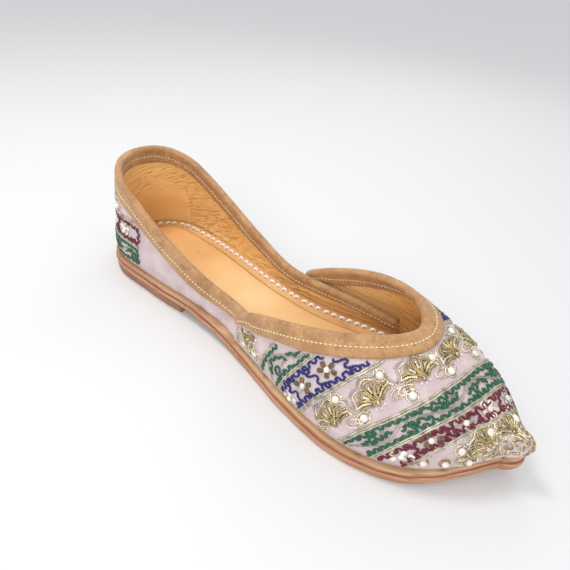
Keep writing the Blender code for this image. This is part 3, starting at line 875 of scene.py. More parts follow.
insole_leather = make_insole_leather(
    "tan insole leather", ((0.66, 0.35, 0.13), (0.78, 0.45, 0.18), (0.86, 0.54, 0.24)), (0.45, 0.22, 0.08)
)
sock_leather = make_insole_leather(
    "smooth sock leather", ((0.78, 0.42, 0.15), (0.86, 0.50, 0.20), (0.91, 0.58, 0.27)), (0.55, 0.28, 0.10)
)
# The sock's cut edge and the bevel round its top are painted near black: a painted shadow line for the gap
# beside the insole.
painted_shadow_edge = new_finish("sock edge painted as shadow", (0.10, 0.05, 0.03), 0.7)[0]
white_thread = make_thread("thick white thread", (0.98, 0.97, 0.93), 0.6, 0.0, 0.92)

insole = layer_piece(
    "stitched_insole", fine_places(), insole_grow, feather_height, insole_top, INSOLE_EDGE, [insole_leather]
)
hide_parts("insole")
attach(insole, "root")

sock = layer_piece(
    "padded_sock", fine_places(SOCK_END), sock_grow, sock_bottom, sock_top, SOCK_EDGE,
    [sock_leather, painted_shadow_edge],
)
# Faces steeper than SOCK_FLATNESS take the painted shadow colour.
for face in sock.data.polygons:
    face.material_index = 1 if abs(face.normal.z) < SOCK_FLATNESS else 0
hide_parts("sock")
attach(sock, "root")


def whip_stitches():
    """One thick stitch every few millimetres, slanting a little across the insole's margin."""
    parts = []
    across = np.linspace(-1.0, 1.0, 7)
    radii = WHIP_RADIUS * np.array([0.6, 0.92, 1.0, 1.0, 1.0, 0.92, 0.6])
    for side in (RIGHT, LEFT):
        place = np.linspace(-HEEL_ARC + 2.0, WHIP_END, 400)
        line = edge_point(side, place, 0.5 * (insole_grow(place) + sock_grow(place)) - 0.3)
        run = run_along(line)
        chance = np.random.RandomState(11 + side)
        for start in np.arange(3.0, run[-1] - 3.0, WHIP_PITCH):
            later, longer, steeper = chance.uniform(-0.5, 0.5, 3)
            xy = picked(start + later + across / 2 * (WHIP_LENGTH + longer), run, line)
            along = unit(xy[-1] - xy[0])
            square = np.array([-along[1], along[0]]) * side
            xy = xy + across[:, None] / 4 * square * (1.0 + steeper)
            z = insole_top(xy[:, 0]) + WHIP_RISE - 1.1 * np.abs(across) ** 4
            path = np.concatenate([xy, z[:, None]], axis=-1)
            up = np.broadcast_to([0.0, 0.0, 1.0], path.shape)
            parts.append(tube(path, up, radii, 8, 0.06, 1.3, 0.85))
    return parts


whips = join_parts("insole_stitches", whip_stitches(), [white_thread])
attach(whips, "root")


# The sole. Two layers of vegetable-tanned leather, the upper one thin, are pasted together and trimmed by
# hand, so their edge wavers and is burnished in streaks. The faces that slope into the groove between the
# layers are painted a reddish dark as the groove's shade. The heel has one more layer.
MIDSOLE_SET_BACK = 0.5  # of the midsole's edge from the outsole's
HEEL_SET_BACK = 0.6
TRIM_WAVER = 0.11
TOE_MARGIN_START = 0.86 * RUN


def make_sole_leather(name, colours, streak):
    """Trimmed edge leather: streaks run along the edge, and fibres show where the knife has torn them."""
    made, tree, shader = new_finish(name, colours[1], 0.68)
    shader.inputs["Coat Weight"].default_value = 0.03
    shader.inputs["Coat Roughness"].default_value = 0.5
    bands = noise_of(tree, 60.0, 5.0, stretch=(0.5, 0.5, 14.0))
    colour = paint(tree, shader, bands, (0.3, 0.5, 0.7), colours)
    dirt = noise_of(tree, 210.0, 5.0, stretch=(0.5, 0.5, 3.0))
    stain(tree, shader, colour, dirt, 0.54, 0.68, streak, 0.7)
    emboss(tree, shader, bands, 0.0008, 0.6)
    emboss(tree, shader, noise_of(tree, 1200.0, 3.0), 0.0001, 0.5)
    return made


outsole_leather = make_sole_leather(
    "outsole leather", ((0.36, 0.15, 0.07), (0.49, 0.245, 0.13), (0.60, 0.36, 0.21)), (0.30, 0.08, 0.05)
)
midsole_leather = make_sole_leather(
    "midsole leather", ((0.38, 0.19, 0.085), (0.51, 0.30, 0.15), (0.62, 0.41, 0.235)), (0.28, 0.11, 0.05)
)
heel_leather = make_sole_leather(
    "brown heel leather", ((0.24, 0.11, 0.06), (0.34, 0.17, 0.09), (0.44, 0.24, 0.14)), (0.16, 0.06, 0.04)
)
# Painted shade: a reddish dark for the groove between the two sole layers.
groove_shade = new_finish("painted reddish shade between the layers", (0.30, 0.075, 0.05), 0.6)[0]


def points_of(piece):
    points = np.empty(len(piece.data.vertices) * 3)
    piece.data.vertices.foreach_get("co", points)
    return points.reshape(-1, 3) / MM


def move_points(piece, points):
    piece.data.vertices.foreach_set("co", (points * MM).ravel())


def hand_trimmed(piece):
    """The knife's waver along the edge, on the side faces only."""
    points = points_of(piece)
    x, y = points[:, 0], points[:, 1]
    waver = np.sin(x * 0.21 + 1.0) + 0.6 * np.sin(x * 0.47 + y * 0.3) + 0.5 * np.sin(y * 0.55 + 2.0)
    cx = np.clip(x, 0.0, RUN)
    off = y - centre_y(cx)
    side = np.sign(off)
    near_edge = smooth_step(np.abs(off) / np.maximum(half_width(side, cx), 1.0), 0.85, 1.0)
    points[:, 1] += side * waver * near_edge * TRIM_WAVER
    move_points(piece, points)


def outsole_grow(x):
    beside_vamp = WALL * smooth_step(x, WING_START, CORNER)
    at_nib = (WALL + HEEL_MARGIN - TOE_MARGIN) * smooth_step(x, TOE_MARGIN_START, RUN)
    return HEEL_MARGIN + beside_vamp - at_nib


def outsole_top(x):
    return underside(x) + outsole_thickness(x)


def midsole_grow(x):
    return outsole_grow(x) - MIDSOLE_SET_BACK


def midsole_top(x):
    return midsole_bottom(x) + MIDSOLE


def lift_grow(x):
    return np.full_like(x, HEEL_MARGIN - HEEL_SET_BACK)


def lift_top(x):
    return underside(x) - CLEARANCE


OUTSOLE_EDGE = ((-0.9, 0.0), (-0.35, 0.06), (-0.05, 0.22), (0.1, 0.45), (0.0, 0.7), (-0.25, 0.9), (-0.6, 1.0))
MIDSOLE_EDGE = ((-0.6, 0.0), (-0.15, 0.12), (0.1, 0.4), (0.05, 0.7), (-0.3, 0.92), (-0.8, 1.0))
LIFT_EDGE = ((-0.6, 0.0), (-0.15, 0.08), (0.0, 0.4), (-0.1, 0.75), (-0.4, 1.0))
OUTSOLE_SHAPE = (fine_places(), outsole_grow, underside, outsole_top, OUTSOLE_EDGE)
MIDSOLE_SHAPE = (fine_places(), midsole_grow, midsole_bottom, midsole_top, MIDSOLE_EDGE)
LIFT_SHAPE = (fine_places(HEEL_SEAT_END), lift_grow, np.zeros_like, lift_top, LIFT_EDGE)
SOLE_LAYERS = (
    # piece, node, slot, finish, shape, slope of the faces that get the painted reddish shade of the groove
    ("trimmed_outsole", "outsole", "sole_leather", outsole_leather, OUTSOLE_SHAPE, (0.5, 0.9)),
    ("trimmed_midsole", "midsole", "sole_leather", midsole_leather, MIDSOLE_SHAPE, (-0.9, -0.5)),
    ("stacked_heel_lift", "heel_lift", "heel_leather", heel_leather, LIFT_SHAPE, None),
)
for name, node, slot, finish, shape, shade_slope in SOLE_LAYERS:
    piece = layer_piece(name, *shape, [finish, groove_shade])
    hand_trimmed(piece)
    # Faces that slope into the groove between the layers get the painted shade.
    for face in piece.data.polygons:
        face.material_index = 1 if shade_slope and shade_slope[0] < face.normal.z < shade_slope[1] else 0
    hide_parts(node)
    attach(piece, "root")


# The pattern of the upper. Bands of coloured and plain ground cross the vamp at a slant, further back on the
# outer side, and three more go round the heel. Each is a strip between two lines drawn on the satin.
BAND_STATIONS = (-1.0, -0.5, 0.25, 0.6, 1.0)
BAND_LINES = {
    # line: x at each station of the girth, from the right sole edge over the ridge to the left one
    "vamp seam": (89.5, 89.5, 89.5, 89.5, 89.5),
    "first green": (107.0, 122.5, 134.0, 131.0, 121.0),
    "blue": (121.5, 138.5, 150.0, 147.0, 134.5),
    "flowers": (136.0, 154.0, 164.5, 161.0, 149.0),
    "second green": (156.0, 175.5, 184.5, 183.5, 173.0),
    "maroon": (169.0, 186.0, 194.0, 194.0, 187.5),
    "toe": (181.0, 194.5, 202.5, 203.0, 198.0),
    "tip": (210.5, 210.5, 210.5, 210.5, 210.5),
}
BAND_REACH = 0.985  # of the girth, from the ridge down to the sole edge
COUNTER_LINES = {"sole": 12.0, "green top": 24.5, "maroon top": 37.0, "binding": 53.0}
COUNTER_REACH = HEEL_ARC + 12.0
BINDING_ROOM = 1.1
EDGE_ROOM = 1.0


def vamp_spot(x, girth):
    """Point and normal of the vamp's face. girth runs from -1 at the right sole edge to 1 at the left."""
    side = np.where(np.asarray(girth) < 0, RIGHT, LEFT)
    p = last_point(side, x, 1 - np.abs(girth))
    n = outward(p)
    return p + n * WALL, n


def heel_spot(z, arc):
    """Point and normal of the quarter's face. arc runs from the right side round the heel to the left."""
    side = np.where(np.asarray(arc) < 0, RIGHT, LEFT)
    place = np.abs(arc) - HEEL_ARC
    p = last_point(side, place, turn_at_height(side, place, z))
    return p, outward(p)


def press_on(p, wall):
    p = onto_last(p)
    n = outward(p)
    return p + n * wall, n


def turned(x, y, degrees):
    """Points of a drawing, turned round its middle."""
    c, k = math.cos(math.radians(degrees)), math.sin(math.radians(degrees))
    return np.stack([x * c - y * k, x * k + y * c], axis=-1)


class Band:
    """A strip between two lines. s runs along its middle and w across it, both in millimetres."""

    def __init__(self, spot, low, high, reach, wall, binding):
        self.spot, self.low, self.high, self.wall, self.binding = spot, low, high, wall, binding
        self.t = np.linspace(-reach, reach, 500)
        middle, _ = spot(self.middle(self.t), self.t)
        self.s = run_along(middle)
        self.length = self.s[-1]
        along = unit(np.gradient(middle, axis=0))
        across = spot(high(self.t), self.t)[0] - spot(low(self.t), self.t)[0]
        square = across - along * np.sum(across * along, axis=-1, keepdims=True)
        self.half = np.linalg.norm(square, axis=-1) / 2

    def middle(self, t):
        return (self.low(t) + self.high(t)) / 2

    def half_at(self, s):
        return np.interp(s, self.s, self.half)

    def at(self, s, w):
        """Points and normals at (s, w)."""
        s, w = np.atleast_1d(s), np.atleast_1d(w)
        t = np.interp(s, self.s, self.t)
        return self.spot(self.middle(t) + w / self.half_at(s) * (self.high(t) - self.low(t)) / 2, t)

    def drawn(self, s, w, spin, shape):
        """A small drawing at (s, w): its x goes along the band and its y towards the band's low line."""
        here, n = self.at(s, w)
        u = unit(self.at(s + 0.5, w)[0] - here)
        v = unit(np.cross(n, u))
        v = v * np.sign(np.sum(v * (self.at(s, w - 0.5)[0] - here)))
        x, y = turned(*shape.T, spin).T
        return press_on(here + u * x[:, None] + v * y[:, None], self.wall)

    def clear(self, p, room=0.0):
        """Which points lie clear of the binding and of the sole."""
        edge, widths = self.binding
        gaps = (np.linalg.norm(p[:, None] - edge[None], axis=-1) - widths).min(axis=1)
        off = gaps > BINDING_ROOM + room
        if self.wall:
            place = np.minimum(p[:, 0], THROAT)
            throat = last_point(RIGHT, place, throat_turn(place))
            off &= (p[:, 0] > THROAT) | (p[:, 2] < throat[:, 2])
        return off & (p[:, 2] - feather_height(p[:, 0]) > EDGE_ROOM + room)


vamp_binding, quarter_binding = vamp_edge(), quarter_edge()


def vamp_band(low_name, high_name, room=0.0):
    low, high = [natural_spline(BAND_STATIONS, BAND_LINES[name]) for name in (low_name, high_name)]
    return Band(vamp_spot, lambda t: low(t) - room, lambda t: high(t) + room, BAND_REACH, WALL, vamp_binding)


def heel_band(low_name, high_name, room=0.0):
    low, high = COUNTER_LINES[low_name] - room, COUNTER_LINES[high_name] + room
    lines = [lambda t: np.full_like(t, high), lambda t: np.full_like(t, low)]
    return Band(heel_spot, *lines, COUNTER_REACH, 0.0, quarter_binding)


LEAF_LENGTH, LEAF_WIDTH = 2.4, 1.9
SILK_RADIUS = 0.5
COIL_STEP = 0.24  # between the rings of a coil's outline


def circle_round(n, angle):
    """Directions square to a normal, at those angles round it."""
    u = unit(np.cross(n, [0.3, 0.5, 0.9]))
    return u * np.cos(angle)[:, None] + np.cross(n, u) * np.sin(angle)[:, None]


class Needlework:
    """Collects what is sewn on one strip, and joins it into one piece with a slot for each finish."""

    def __init__(self, band):
        self.band, self.parts, self.slots, self.finishes = band, [], [], []

    def add(self, part, finish):
        if finish not in self.finishes:
            self.finishes.append(finish)
        self.parts.append(part)
        self.slots.append(self.finishes.index(finish))

    def thread(self, laid, finish, radius, step=0.4, sides=6, twist=0.2, pitch=1.5, flat=0.85, ribs=0.0):
        """A thread along laid points. It stops where the binding or the sole covers the wall."""
        path, normals = laid
        run = run_along(path)
        if run[-1] < 4 * step:
            return
        spots = np.linspace(0.0, run[-1], int(run[-1] / step) + 1)
        path, normals = picked(spots, run, path), unit(picked(spots, run, normals))
        keep = self.band.clear(path)
        cuts = np.flatnonzero(np.diff(keep.astype(int))) + 1
        for piece in np.split(np.arange(len(path)), cuts):
            if len(piece) > 4 and keep[piece[0]]:
                number = np.arange(len(piece))
                taper = np.clip(0.45 + 0.3 * np.minimum(number, number[::-1]), 0.0, 1.0)
                radii = radius * taper * (1 + ribs * np.cos(number * 2 * math.pi / 3))
                self.add(tube(path[piece], normals[piece], radii, sides, twist, pitch, flat, 0.05), finish)

    def silk(self, laid, finish):
        self.thread(laid, finish, SILK_RADIUS)

    def coil(self, laid, finish, radius, ribs=0.16, flat=0.85):
        """A hollow coil of fine wire, cut to length and sewn down like a bead."""
        self.thread(laid, finish, radius, COIL_STEP, 6, 0.0, 1.0, flat, ribs)

    def ring(self, spot, finish, radius, thickness):
        """A ring of coiled wire round a spot."""
        p, n = spot
        circle = circle_round(n, np.linspace(0, 2 * math.pi, 40))
        self.coil(press_on(p + circle * radius, self.band.wall), finish, thickness, 0.18)

    def dome(self, spot, finish, radius, height=0.8, sides=12, rings=5):
        """A bead or a pearl at a spot."""
        p, n = spot
        if not self.band.clear(p, radius)[0]:
            return
        circle = circle_round(n, np.linspace(0, 2 * math.pi, sides, endpoint=False))
        rows = []
        for k in np.linspace(-0.28, 0.5 - 0.36 / rings, rings) * math.pi:
            rows.append(p + circle * radius * math.cos(k) + n * radius * height * (math.sin(k) + 0.72))
        faces = [list(face) for face in grid_faces(rings, sides, around=True)]
        top, last = rings * sides, (rings - 1) * sides
        faces.append(list(range(sides)))
        faces += [[last + k, top, last + (k + 1) % sides] for k in range(sides)]
        crown = p + n * radius * height * 1.72
        self.add((np.concatenate(rows + [crown]), faces), finish)

    def spangle(self, s, w, spin, finish):
        """A small metal leaf with cut corners, its outer end tilted up."""
        x, y = LEAF_LENGTH / 2, LEAF_WIDTH / 2
        low = [(-x, -y * 0.6), (-x * 0.7, -y), (x * 0.7, -y), (x, -y * 0.6)]
        outline = np.array(low + [(a, -b) for a, b in low[::-1]])
        p, n = self.band.drawn(s, w, spin, outline)
        if not self.band.clear(p).all():
            return
        top = p + n * (0.52 + 0.35 * (outline[:, :1] / x + 1) / 2)
        middle = p.mean(axis=0)
        crown = middle + (top - middle) * 0.72 + n * 0.10
        faces = [list(face) for face in grid_faces(3, 8, around=True)]
        faces += [list(range(8)), list(range(16, 24))[::-1]]
        self.add((np.concatenate([p - n * 0.1, top, crown]), faces), finish)

    def sew(self, name):
        piece = join_parts(name, self.parts, self.finishes, self.slots)
        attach(piece, "root")
        return piece


def meander(start, end, swing, wave, seed, overhang=0.9):
    """A hand-laid wavy line between two places along a band: its loops lean over and are never quite even."""
    chance = np.random.RandomState(seed)
    turns_made = max((end - start) / wave, 1.0)
    t = np.linspace(0.0, 1.0, int(turns_made * 24))
    knots = np.linspace(0, 1, max(int(turns_made * 1.6), 4))
    uneven = np.interp(t, knots, chance.normal(0, 1, len(knots)))
    taller = np.interp(t, knots, chance.uniform(0.55, 1.3, len(knots)))
    turns = 2 * math.pi * (turns_made * t + 0.14 * uneven)
    s = start + (end - start) * t - overhang * wave / 9.0 * np.sin(2 * turns)
    return s, swing * (taller * np.sin(turns) + 0.28 * uneven)


def gold_finish(name, colour, roughness, metallic=0.9, change=0.45):
    made, tree, shader = new_finish(name, colour, roughness)
    shader.inputs["Metallic"].default_value = metallic
    colours = shades(colour, 1 - change, 1.0, 1 + 0.8 * change)
    paint(tree, shader, noise_of(tree, 420.0, 3.0), (0.32, 0.5, 0.7), colours)
    emboss(tree, shader, noise_of(tree, 3200.0, 1.0), 0.0001, 0.4)
    return made


def pearl_finish():
    made, tree, shader = new_finish("pearl", (0.84, 0.80, 0.72), 0.28)
    shader.inputs["Coat Weight"].default_value = 0.5
    shader.inputs["Coat Roughness"].default_value = 0.12
    paint(tree, shader, noise_of(tree, 300.0, 2.0), (0.3, 0.6), ((0.74, 0.67, 0.56), (0.86, 0.83, 0.77)))
    return made


antique_gold = gold_finish("antique gold coil", (0.47, 0.36, 0.18), 0.26)
pale_gold = gold_finish("pale gold coil", (0.78, 0.69, 0.50), 0.26)
grey_braid = gold_finish("tarnished braid", (0.56, 0.51, 0.40), 0.48, 0.6)
silver_thread = gold_finish("silver thread", (0.50, 0.45, 0.38), 0.40, 0.55)
dark_mirror = gold_finish("dark mirror", (0.22, 0.16, 0.09), 0.22, 0.9, 0.3)
grey_mirror = gold_finish("grey mirror", (0.55, 0.52, 0.45), 0.24, 0.9, 0.15)
white_mirror = gold_finish("white mirror", (0.93, 0.91, 0.85), 0.28, 0.4, 0.1)
pearl = pearl_finish()
green_silk = make_thread("green silk cord", (0.003, 0.108, 0.046), 0.32, 0.04)
blue_silk = make_thread("blue silk cord", (0.008, 0.008, 0.155), 0.32, 0.04)
maroon_silk = make_thread("maroon silk cord", (0.15, 0.003, 0.021), 0.32, 0.04)


# The borders. Between two bands lies a flat braid of tarnished metal thread, of two cords that twist against
# each other, with tiny glass beads along some of them.
BRAID_RADIUS = 0.48
BRAID_PITCH = 1.1
BORDER_BEAD = 0.42
BEAD_PITCH = 1.4
BORDER_ROOM = 1.0
SEAM_BORDER = 16.0


def border(work, beads=False, start=0.0, end=None):
    band = work.band
    end = end or band.length
    s = np.linspace(start, end, 500)
    drift = 0.12 * np.sin(s * 0.35) + 0.08 * np.sin(s * 0.9)
    for way in (1, -1):
        laid = band.at(s, drift - way * BRAID_RADIUS * 0.95)
        work.thread(laid, grey_braid, BRAID_RADIUS, step=0.3, twist=0.22, pitch=way * BRAID_PITCH, flat=0.7)
    if beads:
        for number, spot in enumerate(np.arange(start + 0.6, end, BEAD_PITCH)):
            aside = BRAID_RADIUS * (2.4 if number % 2 else -2.4)
            work.dome(band.at(spot, aside), pale_gold, BORDER_BEAD, 0.9, 8, 4)


for name, beads in (("first green", True), ("blue", False), ("flowers", False), ("second green", False),
                    ("maroon", False), ("toe", True)):
    work = Needlework(vamp_band(name, name, BORDER_ROOM))
    border(work, beads)
    work.sew(name.replace(" ", "_") + "_border")
work = Needlework(vamp_band("vamp seam", "vamp seam", BORDER_ROOM))
for start, end in ((0.0, SEAM_BORDER), (work.band.length - SEAM_BORDER, work.band.length)):
    border(work, False, start, end)
work.sew("vamp_seam_border")
for name, beads in (("green top", False), ("maroon top", True)):
    work = Needlework(heel_band(name, name, BORDER_ROOM))
    border(work, beads)
    work.sew("heel_" + name.replace(" ", "_") + "_border")


# The green bands, two on the vamp and one round the heel. A rippled cord of green silk edges each side, and a
# pair of silver threads winds between as a vine. A green curl on a silver stem fills each of its bends.
VINE_RADIUS = 0.27
VINE_BEND = 30.0
VINE_ROOM = 3.0
SILK_ROOM = 1.75


def round_line(radius, angle):
    return np.stack([radius * np.cos(angle), radius * np.sin(angle)], axis=-1)


def closing_ends(work, silk, seed):
    """The cord turns down at both ends of a band that stops on the open wall."""
    for end, s in ((0, 0.9), (1, work.band.length - 0.9)):
        half = float(work.band.half_at(s)) - 1.8
        along, across = meander(-half, half, 0.7, 4.0, seed + 7 * end)
        work.silk(work.band.at(s + across, along), silk)


def green_band(band, lag, seed):
    work = Needlework(band)

    def bend(s):
        return np.sin(2 * math.pi * s / VINE_BEND + lag)

    def vine(s):
        return (band.half_at(s) - VINE_ROOM) * bend(s)

    def silver(laid):
        work.thread(laid, silver_thread, VINE_RADIUS, 0.5, 5, 0.1)

    for side in (-1, 1):
        s, w = meander(1.0, band.length - 1.0, 1.0, 3.3, seed + side)
        wide = np.clip(-side * bend(s), 0.0, 1.0)
        offset = band.half_at(s) - SILK_ROOM - 0.35 * wide
        work.silk(band.at(s, side * offset + w * (0.45 + 0.5 * wide)), green_silk)
    s = np.linspace(1.0, band.length - 1.0, 600)
    for off in (-0.4, 0.4):
        silver(band.at(s, vine(s) + off))
    first = (VINE_BEND / 4 - lag * VINE_BEND / (2 * math.pi)) % (VINE_BEND / 2) - VINE_BEND / 2
    for number, middle in enumerate(np.arange(first, band.length + VINE_BEND / 4, VINE_BEND / 2)):
        side = -1.0 if bend(middle) > 0 else 1.0
        reach = VINE_BEND * 0.215
        low, high = max(middle - reach, 1.0), min(middle + reach, band.length - 1.0)
        if high - low < 5.0:
            continue
        s, w = meander(low, high, 0.62, 3.2, seed + 5 + number)
        work.silk(band.at(s, vine(s) + side * SILK_ROOM + w), green_silk)
        if low < middle < high:
            half = float(band.half_at(middle))
            size = min(half - 3.3, 2.5)
            here = (middle - 1.2, side * (half - SILK_ROOM - 0.9 - size))
            opening = np.linspace(0.0, 1.0, 66)
            angle = number + 2 * math.pi * 1.1 * opening
            curl = round_line(size * (0.34 + 0.66 * opening) + 0.22 * np.sin(8 * angle), angle)
            work.silk(band.drawn(*here, 30.0 + 150.0 * (number % 2), curl), green_silk)
            tail = np.linspace(0.0, 1.0, 20)
            stem = np.stack([size + 0.6 + 3.4 * tail, 0.9 * np.sin(3.0 * tail)], axis=-1)
            for off in (-0.35, 0.35):
                silver(band.drawn(*here, 0.0, stem + (0.0, off)))
    return work


green_band(vamp_band("first green", "blue"), 2.2, 22).sew("first_green_embroidery")
green_band(vamp_band("second green", "maroon"), 5.1, 51).sew("second_green_embroidery")
work = green_band(heel_band("sole", "green top"), 3.4, 34)
closing_ends(work, green_silk, 61)
work.sew("heel_green_embroidery")


# The blue and the maroon bands, and the maroon one round the heel. Rippled cords edge them too. Between stand
# flowers of five small metal leaves round a pearl, and the cord wanders across the band from one to the next.
FLOWER_REACH = 2.6
SMALL_PEARL = 1.25
CROSSING_ROOM = 11.0  # between two flowers, over which the cord crosses
DARK, GREY, WHITE = (dark_mirror,), (grey_mirror,), (white_mirror, pale_gold)
MIXED = (dark_mirror, dark_mirror, grey_mirror)


def leaf_flower(work, s, spin, finishes):
    for k in range(5):
        angle = spin + 72 * k
        x, y = turned(FLOWER_REACH, 0.0, angle)
        work.spangle(s + x, -y, angle, finishes[k % len(finishes)])
    work.dome(work.band.at(s, 0.0), pearl, SMALL_PEARL, 0.62, 14, 6)


def flower_band(band, silk, flowers, looks, seed):
    work = Needlework(band)
    for side in (-1, 1):
        s, w = meander(1.0, band.length - 1.0, 0.95, 3.6, seed + side)
        work.silk(band.at(s, side * (band.half_at(s) - 2.0) + w), silk)
    for number, s in enumerate(flowers):
        leaf_flower(work, s, 18 + 31 * number, looks[number % len(looks)])
        if number + 1 < len(flowers) and flowers[number + 1] - s > CROSSING_ROOM:
            middle = (s + flowers[number + 1]) / 2
            half = float(band.half_at(middle)) - 2.4
            along, across = meander(-half, half, 1.5, 4.4, seed + 11 * number, 0.5)
            work.silk(band.at(middle + across + 0.25 * along, along), silk)
    return work


blue_band = vamp_band("blue", "flowers")
flowers = [1.9] + list(np.arange(14.5, blue_band.length - 3.0, 14.2))
flower_band(blue_band, blue_silk, flowers, (WHITE, MIXED, DARK), 21).sew("blue_embroidery")
maroon_band = vamp_band("maroon", "toe")
flowers = [7.5, 20.5, 35.0, 47.0, 60.0] + list(np.arange(72.0, maroon_band.length - 2.0, 13.0))
flower_band(maroon_band, maroon_silk, flowers, (WHITE, DARK, GREY, WHITE, GREY), 33).sew("maroon_embroidery")
heel_maroon = heel_band("green top", "maroon top")
flowers = heel_maroon.length / 2 + 14.0 * np.arange(-3, 4)
work = flower_band(heel_maroon, maroon_silk, flowers, (WHITE,), 47)
closing_ends(work, maroon_silk, 71)
work.sew("heel_maroon_embroidery")


# The gold flowers. Each has three loops of coiled wire, a fan of three straight coils on either side of its
# stem and a row of beads under it. Pearls in rings of thin coil stand between them along both borders.
COIL_RADIUS = 0.42
LARGE_PEARL = 1.55
RING_RADIUS = 2.35
RING_THICKNESS = 0.34
FLOWER_PITCH = 20.0
FLOWER_SPINS = (-14, 8, -6, 12)


def loop_of(length, width, angle):
    """A teardrop loop from the stem and back."""
    t = np.linspace(0.0, 1.0, 40)
    aside = width / 2 * np.sin(2 * math.pi * t) * (0.35 + 0.65 * np.sin(math.pi * t))
    return turned(length * np.sin(math.pi * t) ** 0.9, aside, angle)


def coil_of(length, angle, start, bow=0.0, aside=0.0):
    """A short coil that points away from the stem, bowed to one side."""
    t = np.linspace(0.0, 1.0, 14)
    return turned(start + length * t, aside + bow * np.sin(math.pi * t), angle)


def gold_flower(work, s, w, spin, size=1.0):
    def coil(shape, finish, radius=COIL_RADIUS, ribs=0.16, flat=0.95):
        work.coil(work.band.drawn(s, w, spin, size * shape), finish, radius * size, ribs, flat)

    def bead(x, y, *looks):
        work.dome(work.band.drawn(s, w, spin, size * np.array([[x, y]])), *looks)

    for angle, length in ((88, 6.4), (50, 5.4), (128, 5.6)):
        coil(loop_of(length, 3.1, angle), antique_gold)
        coil(coil_of(length * 0.45, angle, length * 0.38), pale_gold, COIL_RADIUS * 1.15, 0.12, 0.7)
    for side, tilt in ((-1, 12), (1, 24)):
        for number in (-1, 0, 1):
            length, start = 5.4 - 0.7 * abs(number), 1.5 + 0.3 * number
            shape = coil_of(length, 90 - side * (90 - tilt), start, 0.7 * side, 0.95 * side * number)
            coil(shape, antique_gold if number else pale_gold, flat=0.9)
    halo = np.radians(np.linspace(8.0, 172.0, 60))
    for radius, thick, finish in ((6.9, 0.30, pale_gold), (7.9, 0.24, silver_thread)):
        coil(round_line(radius + 0.45 * np.cos(8 * halo), halo), finish, thick)
    angle = np.linspace(0.0, 2 * math.pi, 30)
    for centre, wide, tall in ((-6.4, 2.6, 1.25), (-6.4, 1.04, 0.5), (6.4, 2.6, 1.25)):
        coil(np.stack([centre + wide * np.cos(angle), -1.3 + tall * np.sin(angle)], axis=-1), pale_gold, 0.30)
    for k in (-1, 0, 1):
        bead(1.5 * k, -2.0 + 0.5 * abs(k), white_mirror, 0.5, 0.9, 8, 4)
    for k in range(9):
        bead(*turned(8.9, 0.0, 42 + 12 * k), white_mirror if k % 2 else pale_gold, 0.42, 0.8, 6, 4)
    bead(0.0, -0.4, antique_gold, 0.9 * size, 0.8, 10, 5)


def ringed_pearl(work, s, w, radius=LARGE_PEARL, ring=RING_RADIUS):
    """A pearl in a ring, set a little further from a border that the binding comes near to."""
    for shift in np.linspace(0.0, 1.0, 8):
        spot = work.band.drawn(s, w * (1 - shift), 0.0, np.zeros((1, 2)))
        if work.band.clear(spot[0], ring - 0.5)[0]:
            work.dome(spot, pearl, radius, 0.62, 16, 7)
            work.ring(spot, pale_gold, ring, RING_THICKNESS)
            return


work = Needlework(vamp_band("flowers", "second green"))
for number, s in enumerate(np.arange(10.0, work.band.length - 5.0, FLOWER_PITCH)):
    room = float(work.band.half_at(s))
    gold_flower(work, s, room * 0.22, FLOWER_SPINS[number % 4], min(room / 6.6, 1.3))
    between = s + FLOWER_PITCH / 2
    if between < work.band.length - 3.0:
        room = float(work.band.half_at(between)) - 4.2
        ringed_pearl(work, between - 0.5, -room)
        ringed_pearl(work, between + 0.5, room)
work.sew("gold_flower_embroidery")

work = Needlework(vamp_band("vamp seam", "first green"))
for end, way in ((0.0, 1), (work.band.length, -1)):
    gold_flower(work, end + way * 12.0, 0.3, way * 16, 1.3)
    for s, w in ((4.0, -4.0), (5.5, 5.0)):
        ringed_pearl(work, end + way * s, w, 1.2, 1.9)
work.sew("rear_flower_embroidery")


# The toe. Ringed pearls and gold flowers fill the ground in front of the last band, pearls line the sole's
# edge, and short coils lie close together over the tip.
TOE_FLOWERS = (
    # share of the band's length, place across it, spin, size
    (0.12, 1.5, -30, 0.95),
    (0.33, 0.0, 10, 1.15),
    (0.55, 0.3, 0, 1.0),
    (0.77, 0.0, 20, 1.1),
)
TOE_PEARLS = ((0.23, -0.45), (0.45, -0.5), (0.67, -0.5), (0.88, -0.3))
EDGE_PEARLS = (186.0, 192.0, 198.0, 203.0)
EDGE_GIRTH = 0.90
COIL_START = 202.0
COIL_GAP = 1.25
COIL_HALF = 1.2
COILS_FROM_EDGE = 206.0  # up to here coils lie beside the flowers only
COILS_FEWER = 209.0
TIP_START, TIP_END = 202.0, 213.0
TIP_LOW, TIP_HIGH = 11.0, 19.0
TIP_FORWARD = 1.6
TIP_UP = 1.0

